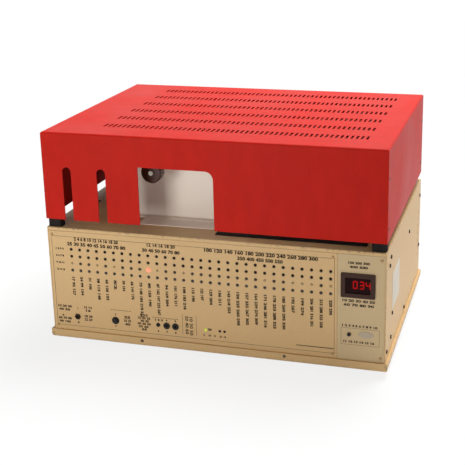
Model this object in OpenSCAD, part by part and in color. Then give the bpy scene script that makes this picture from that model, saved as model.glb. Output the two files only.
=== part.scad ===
// Bench gas chromatograph: a sheet-metal chassis with a control face, a sunk
// column oven with a hinged lid, and a vented cover that hinges at the rear.
// Front faces -Y, right is +X, the feet stand on Z = 0.

/* [Case] */
// Width of the body and of the cover
body_w = 488.3; // [480:0.1:530]
// Depth of the body, front face to rear face
body_d = 356; // [350:1:400]
// Height of the chassis, tray underside to deck
chassis_h = 170; // [168:1:200]
// Sheet metal of the panels
sheet = 1.5; // [1:0.1:2]
// Height of the tray's lip above its underside
lip_h = 13; // [10:0.5:16]
// How far the tray stands out around the body
tray_over = 3.5; // [2.5:0.5:5]
// Radius of the tray's lower corners
tray_corner = 5; // [2:0.5:8]
// Height of the deck's folded front edge
deck_fold = 5; // [4:0.5:8]
// Width of the flanges folded along the side panels
flange_w = 12; // [8:1:16]
// Height of the feet
foot_h = 8; // [6:1:14]
// Radius of a foot at its top
foot_r = 11.5; // [9:0.5:15]
// Distance of the feet from the body's sides
foot_in_x = 45; // [30:1:70]
// Distance of the feet from the body's front and rear
foot_in_y = 36; // [25:1:60]

/* [Cover] */
// Gap between the deck and the cover's lower edge
cover_gap = 12.5; // [10:0.5:18]
// Height of the cover
cover_h = 127; // [120:1:160]
// Bend radius along the cover's top edges
cover_bend = 3; // [2:0.5:6]
// Width of a slot in the cover's front
slot_w = 13; // [8:0.5:16]
// Height of the slots above the cover's lower edge
slot_h = 77.5; // [60:0.5:85]
// Distances of the two slots from the cover's left side
slot_at = [36.5, 88.5];
// Width of the access cut-out
access_w = 108.5; // [90:0.5:120]
// Height of the access cut-out above the cover's lower edge
access_h = 83.5; // [70:0.5:90]
// Distance of the access cut-out from the cover's left side
access_at = 143.5; // [138:0.5:160]
// Corner radius at the right of the access cut-out
access_r = 12; // [6:0.5:20]

/* [Cover vents] */
// Number of vent rows
vent_rows = 6; // [4:1:6]
// Number of vents in a row
vent_count = 55; // [30:1:55]
// Pitch of the vents along a row
vent_pitch = 6.95; // [6:0.05:7]
// Pitch of the rows
vent_row_pitch = 50.4; // [40:0.1:51]
// Width of a vent
vent_w = 3.4; // [2:0.1:4]
// Length of a vent
vent_len = 17; // [10:0.5:24]
// Distance of the first row's middle from the front
vent_front = 56; // [40:0.5:60]
// Distance of the last vent from the cover's right side
vent_right = 37; // [30:0.5:50]

/* [Hinges] */
// Radius of the cover hinge's knuckles
knuckle_r = 4; // [3.5:0.1:5]
// Radius of the cover hinge's pins
hinge_pin_r = 2; // [1.5:0.1:2.2]
// Running clearance round a hinge pin or a shaft
pin_fit = 0.05; // [0.03:0.01:0.1]
// Length of a cover hinge
hinge_len = 60; // [40:1:80]
// Distance of a cover hinge's middle from the body's side
hinge_in = 90; // [60:1:120]
// Height of a hinge leaf
leaf_h = 26; // [18:1:40]

/* [Control face] */
// Thickness of the front panels
panel_t = 2; // [1.5:0.1:3]
// Columns of the control grid
grid_cols = 30; // [30:1:30]
// Pitch of the rows
row_pitch = 10.56; // [9:0.01:11]
// Distance of the first column from the body's left side
grid_left = 35.4; // [30:0.1:38]
// Distance of the last column from the display panel
grid_right = 9; // [9:0.1:12]
// Height of the lowest row above the tray's underside
grid_low = 106.5; // [100:0.5:115]
// Radius of the grid's holes
hole_r = 1.95; // [1.8:0.05:2.2]
// Clearance between a control and its hole
hole_fit = 0.25; // [0.15:0.05:0.35]
// Travel of a grid button
button_travel = 0.8; // [0.4:0.1:0.8]
// Width of the display panel
display_w = 66; // [62:0.5:70]
// Height of the lower controls above the tray's underside
low_z = 34.5; // [30:0.5:40]
// Radius of the start button
start_r = 3.6; // [3:0.1:4.2]
// Radius of the select button
select_r = 2.4; // [2:0.1:3]
// Travel of the round push-buttons
push_travel = 1.5; // [0.8:0.1:2]
// Radius of a jack's collar
jack_r = 4.2; // [3.5:0.1:4.8]

/* [Display] */
// Width of the display's bezel
bezel_w = 46; // [42:0.5:50]
// Height of the display's bezel
bezel_h = 34.5; // [30:0.5:40]
// How far the bezel stands out of the panel
bezel_out = 2.4; // [1.5:0.1:4]
// Height of a digit
digit_h = 11; // [8:0.5:13]
// Width of a digit
digit_w = 6.4; // [5:0.1:7]

/* [Oven] */
// Width of the bay between the body's left side and the oven
oven_left = 94.3; // [90:0.1:110]
// Distance of the oven from the body's right side
oven_right = 34; // [28:1:40]
// Distance of the oven's front wall from the body's front
oven_front = 82; // [78:1:90]
// Distance of the oven's rear wall from the body's rear
oven_rear = 30; // [26:1:40]
// Depth of the oven below the deck
oven_drop = 108; // [100:1:112]
// Thickness of the oven's insulation
insul_t = 25; // [18:1:30]
// Sheet metal of the oven
oven_sheet = 1.2; // [0.8:0.1:1.6]
// Height of the oven's lid
lid_h = 15; // [12:0.5:18]
// Radius of the oven fan
fan_r = 50; // [40:1:55]
// Radius of the fan's shaft
shaft_r = 4; // [3:0.5:5]
// Number of fan blades
blade_count = 8; // [5:1:9]
// Radius of the column's turns
column_r = 68; // [60:1:70]
// Radius of the column's tube
column_tube_r = 1.5; // [1:0.1:2]
// Number of turns shown on the cage
column_turns = 10; // [6:1:14]

/* [Injector] */
// Distance of the injector from the body's left side
injector_x = 151; // [140:1:200]
// Height of the injector above the deck
injector_z = 80; // [60:1:85]
// Radius of the septum nut
nut_r = 15; // [12:0.5:17]
// Distance of the septum nut's front from the body's front
nut_front = 30; // [24:1:40]

/* [Rear fittings] */
// Radius of a gas fitting's thread
fitting_r = 3.97; // [3:0.01:5]
// How far a gas fitting stands out of the rear panel
fitting_reach = 18; // [16:0.5:24]
// Number of gas fittings
fitting_count = 4; // [2:1:4]
// Pitch of the gas fittings
fitting_pitch = 20; // [18:0.5:22]
// Height of the rear fittings above the tray's underside
rear_z = 40; // [34:1:44]

/* [Hidden] */
$fn = 32;

// Small gaps used throughout
eps = 0.01;       // overshoot of a cut
seat = 0.3;       // gap between neighbours that must not touch
run_gap = 0.6;    // gap beside a moving piece

// Toggle lever, which stands out furthest at the front
pivot_in = 2;
lever_r = 0.9;
lever_tip_r = 1.2;
lever_len = 6.5;
lever_tilt = 12;
lever_reach = lever_len * cos(lever_tilt) + lever_tip_r - pivot_in;

// Overall frame
front_reach = max(tray_over, lever_reach);
total_d = front_reach + body_d + fitting_reach;
half_w = body_w / 2;
y_front = -total_d / 2 + front_reach;
y_rear = y_front + body_d;
z_tray = foot_h;
z_floor = z_tray + sheet;
z_lip = z_tray + lip_h;
z_deck = z_tray + chassis_h;
z_under = z_deck - sheet;
z_cover = z_deck + cover_gap;
z_top = z_cover + cover_h;

// Colours
beige = "#c9ad84";
red = "#d8301f";
rubber = "#1b1a19";
steel = "#b9bcc0";
board = "#2f6b3c";

// ---------- helpers ----------

// A profile drawn in X and Z, extruded from y0 along +Y
module along_y(y0, len) {
  translate([0, y0 + len, 0]) rotate([90, 0, 0]) linear_extrude(len) children();
}

// A profile drawn in Y and Z, extruded from x0 along +X
module along_x(x0, len) {
  translate([x0, 0, 0]) rotate([90, 0, 90]) linear_extrude(len) children();
}

// A cylinder along +Y from y0
module rod_y(x, z, r, y0, len) {
  translate([x, y0, z]) rotate([-90, 0, 0]) cylinder(r = r, h = len);
}

// A cylinder along +X from x0
module rod_x(y, z, r, x0, len) {
  translate([x0, y, z]) rotate([0, 90, 0]) cylinder(r = r, h = len);
}

// A box from its low corner to its high corner
module span(a, b) {
  translate(a) cube(b - a);
}

// A rectangle from [x0, y0] to [x1, y1] with round corners of radius r
module round_rect(x0, y0, x1, y1, r) {
  translate([x0 + r, y0]) square([x1 - x0 - 2 * r, y1 - y0]);
  translate([x0, y0 + r]) square([x1 - x0, y1 - y0 - 2 * r]);
  for (x = [x0 + r, x1 - r]) for (y = [y0 + r, y1 - r]) translate([x, y]) circle(r = r);
}

// A box with its four upright edges rounded
module round_box(a, b, r) {
  translate([0, 0, a[2]]) linear_extrude(b[2] - a[2]) round_rect(a[0], a[1], b[0], b[1], r);
}

// A shell of four walls and a floor, open at the top
module open_box(a, b, t) {
  difference() {
    span(a, b);
    span([a[0] + t, a[1] + t, a[2] + t], [b[0] - t, b[1] - t, b[2] + eps]);
  }
}

// A ring standing on Z, between radii r_in and r_out
module ring(r_in, r_out, z, h) {
  translate([0, 0, z]) difference() {
    cylinder(r = r_out, h = h);
    translate([0, 0, -eps]) cylinder(r = r_in, h = h + 2 * eps);
  }
}

// A horizontal tube bent into a circle
module torus(r_turn, r_tube, z) {
  translate([0, 0, z]) rotate_extrude() translate([r_turn, 0]) circle(r = r_tube);
}

// ---------- screws ----------

screw_r = 1.5;
screw_head_r = 3;
screw_head_h = 1.5;
screw_len = 6;
screw_fit = 0.2;
frame_depth = 12;
edge_in = 9;      // distance of the corner screws from an edge

// Places on a side panel, as [y, z]
side_screw_at = [
  [y_front + edge_in, z_tray + 26], [y_front + 44, z_tray + 32],
  [y_front + 54, z_tray + 64], [y_front + 25, z_deck - 26],
  [y_front + 35, z_deck - 17], [y_front + body_d / 2 + 42, z_deck - 44],
  [y_front + body_d / 2, z_tray + lip_h + 8], [y_rear - 12, z_tray + 62],
  [y_rear - 12, z_deck - 24]
];

// Places on the rear panel, as [x, z]
rear_screw_at = [
  for (x = [-half_w + edge_in, half_w - edge_in]) for (z = [z_lip + 10, z_deck - 20]) [x, z]
];

// Places on the deck, as [x, y]
deck_screw_at = [
  for (x = [-half_w + 24, half_w - 17]) for (y = [y_front + 129, y_rear - 40]) [x, y]
];

// Places on the front face, as [x, z]
front_screw_at = [
  for (z = [z_lip + 6, z_deck - deck_fold - 6])
    for (x = [-half_w + 6.5, half_w - display_w - 6, half_w - 6.5]) [x, z]
];

// One screw along +Z with its head's underside on Z = 0, pointing down
module screw(r = screw_head_r) {
  difference() {
    cylinder(r1 = r, r2 = r * 0.8, h = screw_head_h);
    translate([-r, -0.4, screw_head_h - 0.7]) cube([2 * r, 0.8, 1]);
  }
  translate([0, 0, -screw_len]) cylinder(r = screw_r, h = screw_len + eps);
}

module side_screw_holes(side) {
  for (p = side_screw_at)
    rod_x(p[0], p[1], screw_r + screw_fit, side > 0 ? half_w - 20 : -half_w - 1, 21);
}

module front_screw_holes() {
  for (p = front_screw_at)
    rod_y(p[0], p[1], screw_r + screw_fit, y_front - 1, 20);
}

module case_screws() color(steel) {
  for (p = side_screw_at) {
    translate([half_w, p[0], p[1]]) rotate([0, 90, 0]) screw();
    translate([-half_w, p[0], p[1]]) rotate([0, -90, 0]) screw();
  }
  for (p = rear_screw_at) translate([p[0], y_rear, p[1]]) rotate([-90, 0, 0]) screw();
  for (p = deck_screw_at) translate([p[0], p[1], z_deck]) screw();
  for (p = front_screw_at) translate([p[0], y_front, p[1]]) rotate([90, 0, 0]) screw(2.2);
}

// ---------- chassis ----------

// Profile of the tray's outside across one direction
module tray_profile(u0, u1) {
  difference() {
    round_rect(u0, z_tray, u1, z_lip + 2 * tray_corner, tray_corner);
    translate([u0 - 1, z_lip]) square([u1 - u0 + 2, 3 * tray_corner]);
  }
}

// Main board's place over the tray
main_left = 104;
main_front = 89;
main_w = 120;
main_d = 145;
board_x0 = -half_w + main_left;
board_x1 = board_x0 + main_w;
board_y0 = y_front + main_front;
board_y1 = board_y0 + main_d;

cool_slot_w = 4;
slot_pitch = 9;
tray_slots = 6;
module base_tray() color(beige) difference() {
  intersection() {
    along_y(y_front - tray_over, body_d + 2 * tray_over)
      tray_profile(-half_w - tray_over, half_w + tray_over);
    along_x(-half_w - tray_over, body_w + 2 * tray_over)
      tray_profile(y_front - tray_over, y_rear + tray_over);
  }
  span([-half_w, y_front, z_floor], [half_w, y_rear, z_lip + 1]);
  // cooling slots under the main board
  for (i = [0:tray_slots - 1])
    span([board_x0 + 38 + slot_pitch * i, board_y0 + 50, z_tray - 1],
         [board_x0 + 38 + slot_pitch * i + cool_slot_w, board_y1 - 20, z_floor + 1]);
}

module rubber_feet() color(rubber) {
  for (x = [-half_w + foot_in_x, half_w - foot_in_x])
    for (y = [y_front + foot_in_y, y_rear - foot_in_y])
      translate([x, y, 0]) difference() {
        cylinder(r1 = foot_r * 0.86, r2 = foot_r, h = foot_h);
        translate([0, 0, -eps]) cylinder(r = foot_r * 0.35, h = foot_h * 0.4);
      }
}

bumper_w = 20;
bumper_d = 15;
module rubber_bumpers() color(rubber) {
  for (side = [-1, 1])
    translate([side * (half_w - 1 - bumper_w / 2), y_front + 3, 0])
      round_box([-bumper_w / 2, 0, z_deck], [bumper_w / 2, bumper_d, z_cover - seat], 3);
}

// One side panel: a web with a flange along its top and bottom
side_vents = 7;
module side_panel(side) {
  mirror([side > 0 ? 0 : 1, 0, 0]) difference() {
    union() {
      span([half_w - sheet, y_front, z_floor], [half_w, y_rear, z_under]);
      for (z = [z_floor, z_under - sheet])
        span([half_w - flange_w, y_front + frame_depth + 4, z],
             [half_w - sheet + eps, y_rear - 14, z + sheet]);
    }
    // notch for the deck's folded edge
    span([half_w - sheet - 1, y_front - 1, z_deck - deck_fold - seat],
         [half_w + 1, y_front + sheet + seat, z_deck]);
    side_screw_holes(1);
    for (i = [0:side_vents - 1])
      translate([half_w - 2 * sheet, y_rear - 27, z_tray + 46 + 12 * i])
        cube([4 * sheet, 4, 8]);
  }
}

module left_side_panel() color(beige) side_panel(-1);
module right_side_panel() color(beige) side_panel(1);

// Rear cut-outs
inlet_x = half_w - 64;
switch_x = half_w - 112;
inlet_w = 28;
inlet_h = 22;
rocker_w = 14;
rocker_h = 20;
rear_part_z = z_tray + rear_z;
fitting_x0 = -half_w + 24;
rear_vents = 14;
rear_vent_h = 22;
module rear_panel() color(beige) difference() {
  span([-half_w + sheet, y_rear - sheet, z_floor], [half_w - sheet, y_rear, z_under]);
  for (i = [0:fitting_count - 1])
    rod_y(fitting_x0 + fitting_pitch * i, rear_part_z, fitting_r + screw_fit,
          y_rear - 2 * sheet, 4 * sheet);
  span([inlet_x - inlet_w / 2 - seat, y_rear - 2 * sheet, rear_part_z - inlet_h / 2 - seat],
       [inlet_x + inlet_w / 2 + seat, y_rear + 1, rear_part_z + inlet_h / 2 + seat]);
  span([switch_x - rocker_w / 2 - seat, y_rear - 2 * sheet, rear_part_z - rocker_h / 2 - seat],
       [switch_x + rocker_w / 2 + seat, y_rear + 1, rear_part_z + rocker_h / 2 + seat]);
  for (i = [0:rear_vents - 1])
    for (z = [z_deck - 92, z_deck - 62])
      translate([(i - (rear_vents - 1) / 2) * slot_pitch - cool_slot_w / 2, y_rear - 2 * sheet, z])
        cube([cool_slot_w, 4 * sheet, rear_vent_h]);
  for (p = rear_screw_at)
    rod_y(p[0], p[1], screw_r + screw_fit, y_rear - 2 * sheet, 4 * sheet);
}

// Oven envelope
oven_x0 = -half_w + oven_left;
oven_x1 = half_w - oven_right;
oven_y0 = y_front + oven_front;
oven_y1 = y_rear - oven_rear;
oven_z0 = z_deck - oven_drop;
lid_room = 16;    // space over the lid for its knob
oven_z1 = z_top - sheet - lid_room - lid_h;
oven_cx = (oven_x0 + oven_x1) / 2;
oven_cy = (oven_y0 + oven_y1) / 2;
oven_fit = 1;

module deck_plate() color(beige) difference() {
  along_x(-half_w, body_w) {
    translate([y_front + sheet, z_under]) square([body_d - sheet, sheet]);
    translate([y_front, z_deck - deck_fold]) square([sheet, deck_fold - sheet]);
    intersection() {
      translate([y_front + sheet, z_under]) circle(r = sheet);
      translate([y_front, z_under]) square([sheet, sheet]);
    }
  }
  span([oven_x0 - oven_fit, oven_y0 - oven_fit, z_under - 1],
       [oven_x1 + oven_fit, oven_y1 + oven_fit, z_deck + 1]);
  for (p = deck_screw_at)
    translate([p[0], p[1], z_under - 1]) cylinder(r = screw_r + screw_fit, h = sheet + 2);
}

// Folded frame behind the front face
frame_w = 10;
frame_t = 1.5;
frame_y = y_front + panel_t;
frame_x = half_w - sheet - screw_fit;
module front_frame() color(beige) difference() {
  union() {
    difference() {
      span([-frame_x, frame_y, z_floor], [frame_x, y_front + frame_depth, z_under]);
      span([-frame_x + frame_t, frame_y + frame_t, z_floor + frame_t],
           [frame_x - frame_t, y_front + frame_depth + 1, z_under - frame_t]);
      span([-frame_x + frame_w, frame_y - 1, z_lip + 2],
           [frame_x - frame_w, frame_y + frame_t + 1, z_deck - deck_fold - 5]);
    }
    // upright between the two front panels
    span([half_w - display_w - 5, frame_y, z_floor + eps],
         [half_w - display_w + 5, frame_y + frame_t, z_under - eps]);
  }
  front_screw_holes();
  side_screw_holes(1);
  side_screw_holes(-1);
}

// ---------- control face ----------

face_top = z_deck - deck_fold - 0.4;
face_low = z_floor + seat;
grid_x0 = -half_w + grid_left;
col_pitch = (body_w - grid_left - grid_right - display_w) / (grid_cols - 1);
grid_z0 = z_tray + grid_low;
function col_x(c) = grid_x0 + col_pitch * (c - 1);
function row_z(r) = grid_z0 + row_pitch * (4 - r);
lit_col = 10;
low_row_z = z_tray + low_z;

// Lower controls, measured from the body's left side
toggle_x = -half_w + 38.5;
start_x = -half_w + 98;
small_jack_x = -half_w + 163.5;
jack_x = [-half_w + 176.5, -half_w + 189.7];
indicator_x = -half_w + 234.8;
pin_x = [-half_w + 255.6, -half_w + 262.6];
toggle_r = 3.4;
small_jack_r = 3;
pin_r = 1.7;
lamp_r = 2;
bush_t = 1.1;

module front_panel() color(beige) difference() {
  span([-half_w + sheet + seat, y_front, face_low],
       [half_w - display_w - seat / 2, y_front + panel_t, face_top]);
  for (c = [1:grid_cols]) for (r = [1:4])
    rod_y(col_x(c), row_z(r), hole_r, y_front - 1, panel_t + 2);
  for (p = [[toggle_x, toggle_r], [start_x, start_r + bush_t], [small_jack_x, small_jack_r],
            [jack_x[0], jack_r], [jack_x[1], jack_r], [indicator_x, lamp_r],
            [pin_x[0], pin_r], [pin_x[1], pin_r]])
    rod_y(p[0], low_row_z, p[1] + hole_fit, y_front - 1, panel_t + 2);
  front_screw_holes();
}

// Display place
bezel_x = half_w - 38;
bezel_z = z_tray + 121.5;
select_x = half_w - 49.5;
select_z = z_tray + 50.5;
meter_w = bezel_w - 5;
meter_h = bezel_h - 5;
module display_panel() color(beige) difference() {
  span([half_w - display_w + seat / 2, y_front, face_low],
       [half_w - sheet - seat, y_front + panel_t, face_top]);
  span([bezel_x - meter_w / 2 - seat, y_front - 1, bezel_z - meter_h / 2 - seat],
       [bezel_x + meter_w / 2 + seat, y_front + panel_t + 1, bezel_z + meter_h / 2 + seat]);
  rod_y(select_x, select_z, select_r + hole_fit, y_front - 1, panel_t + 2);
  front_screw_holes();
}

// Meter housing with a stepped flange round its window
bezel_rim = 6;
meter_depth = 16;
well_depth = 6;       // depth of the well behind the window
window_in = 1.2;
module display_bezel() color(rubber) difference() {
  union() {
    along_y(y_front - bezel_out, bezel_out)
      translate([bezel_x, bezel_z])
        round_rect(-bezel_w / 2, -bezel_h / 2, bezel_w / 2, bezel_h / 2, 1.5);
    span([bezel_x - meter_w / 2, y_front - eps, bezel_z - meter_h / 2],
         [bezel_x + meter_w / 2, y_front + meter_depth, bezel_z + meter_h / 2]);
  }
  span([bezel_x - bezel_w / 2 + bezel_rim, y_front - bezel_out - 1, bezel_z - bezel_h / 2 + bezel_rim],
       [bezel_x + bezel_w / 2 - bezel_rim, y_front + well_depth, bezel_z + bezel_h / 2 - bezel_rim]);
}

window_w = bezel_w - 2 * bezel_rim;
window_h = bezel_h - 2 * bezel_rim;
window_y = y_front - bezel_out + window_in;
window_t = 1;
module display_window() color("#7a0f12") {
  span([bezel_x - window_w / 2 + 0.1, window_y, bezel_z - window_h / 2 + 0.1],
       [bezel_x + window_w / 2 - 0.1, window_y + window_t, bezel_z + window_h / 2 - 0.1]);
}

// Seven-segment digits: which bars are lit, in the order
// top, upper right, lower right, bottom, lower left, upper left, middle
digit_bars = [
  [1, 1, 1, 1, 1, 1, 0],
  [1, 1, 1, 1, 0, 0, 1],
  [0, 1, 1, 0, 0, 1, 1]
];
bar_t = 1.3;
digit_pitch = digit_w + 2.2;
digit_x = bezel_x + 4.5;
digit_y = y_front + 1.4;
module bar(x, z, flat) {
  len = flat ? digit_w - bar_t - 0.4 : (digit_h - bar_t) / 2 - 0.4;
  translate([x, 0, z]) cube(flat ? [len, 1, bar_t] : [bar_t, 1, len], center = true);
}
module digit(bars) {
  dx = (digit_w - bar_t) / 2;
  dz = (digit_h - bar_t) / 2;
  if (bars[0] > 0) bar(0, dz, true);
  if (bars[1] > 0) bar(dx, dz / 2, false);
  if (bars[2] > 0) bar(dx, -dz / 2, false);
  if (bars[3] > 0) bar(0, -dz, true);
  if (bars[4] > 0) bar(-dx, -dz / 2, false);
  if (bars[5] > 0) bar(-dx, dz / 2, false);
  if (bars[6] > 0) bar(0, 0, true);
}
module display_digits() color("#ff2a1e") {
  for (i = [0:2])
    translate([digit_x + digit_pitch * (i - 1), digit_y + 0.5, bezel_z]) digit(digit_bars[i]);
  // carrier behind the bars
  span([bezel_x - window_w / 2 + seat, digit_y + 1, bezel_z - window_h / 2 + seat],
       [bezel_x + window_w / 2 - seat, y_front + well_depth - 0.1, bezel_z + window_h / 2 - seat]);
}

// Control board with the tact switches of the two upper rows
board_gap = 8;
board_t = 1.6;
board_y = y_front + panel_t + board_gap;
board_margin = 10;
tact_w = 6;
button_r = hole_r - hole_fit;
collar_r = 2.6;
collar_y = y_front + panel_t + run_gap;
collar_t = 2.8;
tact_y = collar_y + collar_t + button_travel + 0.1;
stud_at = [for (c = [1.5, 15.5, 29.5]) for (r = [0.2, 4.8]) [col_x(c), row_z(r)]];
module control_board() color(board) {
  difference() {
    span([col_x(1) - board_margin, board_y, row_z(4) - board_margin],
         [col_x(grid_cols) + board_margin, board_y + board_t, row_z(1) + board_margin]);
    for (c = [2:4:grid_cols])
      rod_y(col_x(c) + col_pitch / 2, row_z(4) - 5, 1, board_y - 1, board_t + 2);
  }
  for (c = [1:grid_cols]) for (r = [1, 2])
    span([col_x(c) - tact_w / 2, tact_y, row_z(r) - tact_w / 2],
         [col_x(c) + tact_w / 2, board_y + eps, row_z(r) + tact_w / 2]);
  for (p = stud_at)
    rod_y(p[0], p[1], 2.4, y_front + panel_t, board_gap + eps);
}

// Plungers of one bank, in row r from column c0 to c1
button_out = 0.3;
module button_bank(r, c0, c1) {
  for (c = [c0:c1]) {
    rod_y(col_x(c), row_z(r), button_r, y_front - button_out, button_out + panel_t + run_gap + eps);
    rod_y(col_x(c), row_z(r), collar_r, collar_y, collar_t);
  }
}
module gas_buttons_upper() color(rubber) button_bank(1, 1, 8);
module gas_buttons_lower() color(rubber) button_bank(2, 1, 8);
module detector_buttons_upper() color(rubber) button_bank(1, 9, 14);
module detector_buttons_lower() color(rubber) button_bank(2, 9, 14);
module heater_buttons_upper() color(rubber) button_bank(1, 15, grid_cols);
module heater_buttons_lower() color(rubber) button_bank(2, 15, grid_cols);

// A light-emitting diode standing on the board and passing the panel
led_r = hole_r - hole_fit;
module led(x, z) {
  rod_y(x, z, led_r, y_front + 0.4, board_y - y_front - 0.4);
  rod_y(x, z, led_r + 0.6, board_y - 2, 2);
  translate([x, y_front + 0.4, z]) rotate([90, 0, 0])
    rotate_extrude() intersection() {
      scale([led_r, led_r * 0.6]) circle(r = 1);
      square([led_r, led_r]);
    }
}
module status_leds() color("#4a3226") {
  for (c = [1:grid_cols]) if (c != lit_col) led(col_x(c), row_z(3));
}
module lit_status_led() color("#ff4a2a") led(col_x(lit_col), row_z(3));

// Trimming potentiometers: a block on the board and a slotted screw in the hole
pot_w = 6.6;
pot_y = y_front + panel_t + 1;
module adjust_trimpots() color("#3a3f52") {
  for (c = [1:grid_cols]) translate([col_x(c), 0, row_z(4)]) {
    span([-pot_w / 2, pot_y, -pot_w / 2], [pot_w / 2, board_y, pot_w / 2]);
    difference() {
      rod_y(0, 0, hole_r - hole_fit, y_front + 0.5, pot_y - y_front - 0.5 + eps);
      span([-0.3, y_front, -2], [0.3, y_front + 1.2, 2]);
    }
  }
}

// ---------- lower controls ----------

toggle_bore = 2.5;
toggle_deep = 7;
toggle_out = 2.2;
ball_r = 2.2;
module toggle_body() color(steel) difference() {
  union() {
    rod_y(toggle_x, low_row_z, toggle_r, y_front - toggle_out, toggle_out + panel_t + 3);
    along_y(y_front - 1.2, 1.2) translate([toggle_x, low_row_z]) circle(r = 4.8, $fn = 6);
    span([toggle_x - 5, y_front + panel_t + seat, low_row_z - 6],
         [toggle_x + 5, y_front + panel_t + 14, low_row_z + 6]);
  }
  rod_y(toggle_x, low_row_z, toggle_bore, y_front - toggle_out - 1, toggle_out + 1 + toggle_deep);
}
module toggle_lever() color("#d7d9dc")
  translate([toggle_x, y_front + pivot_in, low_row_z]) rotate([lever_tilt, 0, 0]) {
    sphere(r = ball_r);
    rotate([90, 0, 0]) cylinder(r = lever_r, h = lever_len);
    translate([0, -lever_len, 0]) sphere(r = lever_tip_r);
  }

// A round push-button with a collar behind the panel
push_cap = 1.2;
push_body = 6;
module push_button(x, z, r) {
  rod_y(x, z, r, y_front - push_travel - push_cap, push_travel + push_cap + panel_t + run_gap + eps);
  rod_y(x, z, r + 1, y_front + panel_t + run_gap, 2);
}
module start_button() color(rubber) push_button(start_x, low_row_z, start_r);
module select_button() color(rubber) push_button(select_x, select_z, select_r);

// Jacks, pin sockets, the start button's bush and the backs of the push-buttons
push_back_y = y_front + panel_t + run_gap + 2 + push_travel + 0.1;
module panel_sockets() color(rubber) {
  for (x = jack_x) difference() {
    union() {
      rod_y(x, low_row_z, jack_r + 0.8, y_front - 1, 1);
      rod_y(x, low_row_z, jack_r, y_front - eps, panel_t + 10);
    }
    rod_y(x, low_row_z, 1.8, y_front - 2, 9);
  }
  difference() {
    rod_y(small_jack_x, low_row_z, small_jack_r, y_front - 0.6, panel_t + 9);
    rod_y(small_jack_x, low_row_z, 1.2, y_front - 2, 8);
  }
  for (x = pin_x) difference() {
    rod_y(x, low_row_z, pin_r, y_front - 0.3, panel_t + 8);
    rod_y(x, low_row_z, 0.8, y_front - 1, 6);
  }
  difference() {
    union() {
      rod_y(start_x, low_row_z, start_r + bush_t, y_front - 0.8, panel_t + 0.8);
      rod_y(start_x, low_row_z, start_r + bush_t + 0.9, y_front - 0.8, 0.8);
    }
    rod_y(start_x, low_row_z, start_r + hole_fit, y_front - 2, panel_t + 4);
  }
  for (p = [[start_x, low_row_z, start_r], [select_x, select_z, select_r]]) {
    difference() {
      rod_y(p[0], p[1], p[2] + 3, y_front + panel_t + seat / 2, push_body + 4);
      rod_y(p[0], p[1], p[2] + 1.4, y_front + panel_t, push_back_y - y_front - panel_t);
    }
  }
}

module indicator_led() color("#b8c832") {
  rod_y(indicator_x, low_row_z, lamp_r, y_front + 0.4, panel_t + 4);
  translate([indicator_x, y_front + 0.4, low_row_z]) sphere(r = lamp_r);
  rod_y(indicator_x, low_row_z, lamp_r + 0.8, y_front + panel_t + seat / 2, 2.5);
}

// ---------- inside the chassis ----------

post_h = 8;
post_r = 3;
post_in = 5;
chip = [18, 8, 4];
chip_pitch = 26;
capacitor_r = 7;
capacitor_h = 16;
sink = [60, 31.6, 3];     // heat sink: base with upright fins
fin_t = 1.6;
fin_h = 14;
fin_count = 7;
module main_board() color(board) {
  span([board_x0, board_y0, z_floor + post_h], [board_x1, board_y1, z_floor + post_h + board_t]);
  for (x = [board_x0 + post_in, board_x1 - post_in])
    for (y = [board_y0 + post_in, board_y1 - post_in])
      translate([x, y, z_floor]) cylinder(r = post_r, h = post_h + eps);
  translate([board_x0 + 20, board_y0, z_floor + post_h + board_t - eps]) {
    for (i = [0:3]) translate([chip_pitch * i - 6, 22, 0]) cube(chip);
    for (i = [0:2])
      translate([5 + 34 * i, main_d - 30, 0]) cylinder(r = capacitor_r, h = capacitor_h);
    translate([0, 50, 0]) {
      cube(sink);
      for (i = [0:fin_count - 1])
        translate([0, i * (sink[1] - fin_t) / (fin_count - 1), 0]) cube([sink[0], fin_t, fin_h]);
    }
  }
}

core_w = 66;
core_d = 54;
core_h = 56;
core_t = 12;      // width of a limb of the iron core
coil_over = 4;    // how far the winding stands out of the core
trafo_foot = 8;
trafo_foot_t = 2;
trafo_right = 28;
trafo_x = half_w - trafo_right - core_w;
trafo_y = y_front + 20;
module transformer() color("#6d6a66") translate([trafo_x, trafo_y, z_floor]) {
  for (z = [0, core_h - core_t]) translate([0, 0, z]) cube([core_w, core_d, core_t]);
  for (x = [0, core_w - core_t])
    translate([x, 0, core_t - eps]) cube([core_t, core_d, core_h - 2 * core_t + 2 * eps]);
  round_box([core_t, -coil_over, core_t + 1],
            [core_w - core_t, core_d + coil_over, core_h - core_t - 1], 6);
  translate([-trafo_foot, 0, 0]) cube([core_w + 2 * trafo_foot, core_d, trafo_foot_t]);
}

manifold_rear = 172;
manifold_d = 60;
manifold_y1 = y_rear - manifold_rear;
manifold_y0 = manifold_y1 - manifold_d;
manifold_h = rear_part_z - z_floor + 10;
valve_r = 8.5;
valve_h = 26;
valve_cap_r = 4;
valve_cap_h = 6;
fitting_x = [for (i = [0:fitting_count - 1]) fitting_x0 + fitting_pitch * i];
module gas_manifold() color("#c4c7cb") difference() {
  span([fitting_x0 - valve_r - 1.5, manifold_y0, z_floor],
       [fitting_x[fitting_count - 1] + valve_r + 1.5, manifold_y1, z_floor + manifold_h]);
  for (x = fitting_x)
    rod_y(x, rear_part_z, tube_r + tube_fit, manifold_y1 - tube_in - 1, tube_in + 2);
}

module solenoid_valves() color("#26282b") {
  for (x = fitting_x)
    translate([x, (manifold_y0 + manifold_y1) / 2, z_floor + manifold_h]) {
      cylinder(r = valve_r, h = valve_h);
      translate([0, 0, valve_h - eps]) cylinder(r = valve_cap_r, h = valve_cap_h);
    }
}

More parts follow.
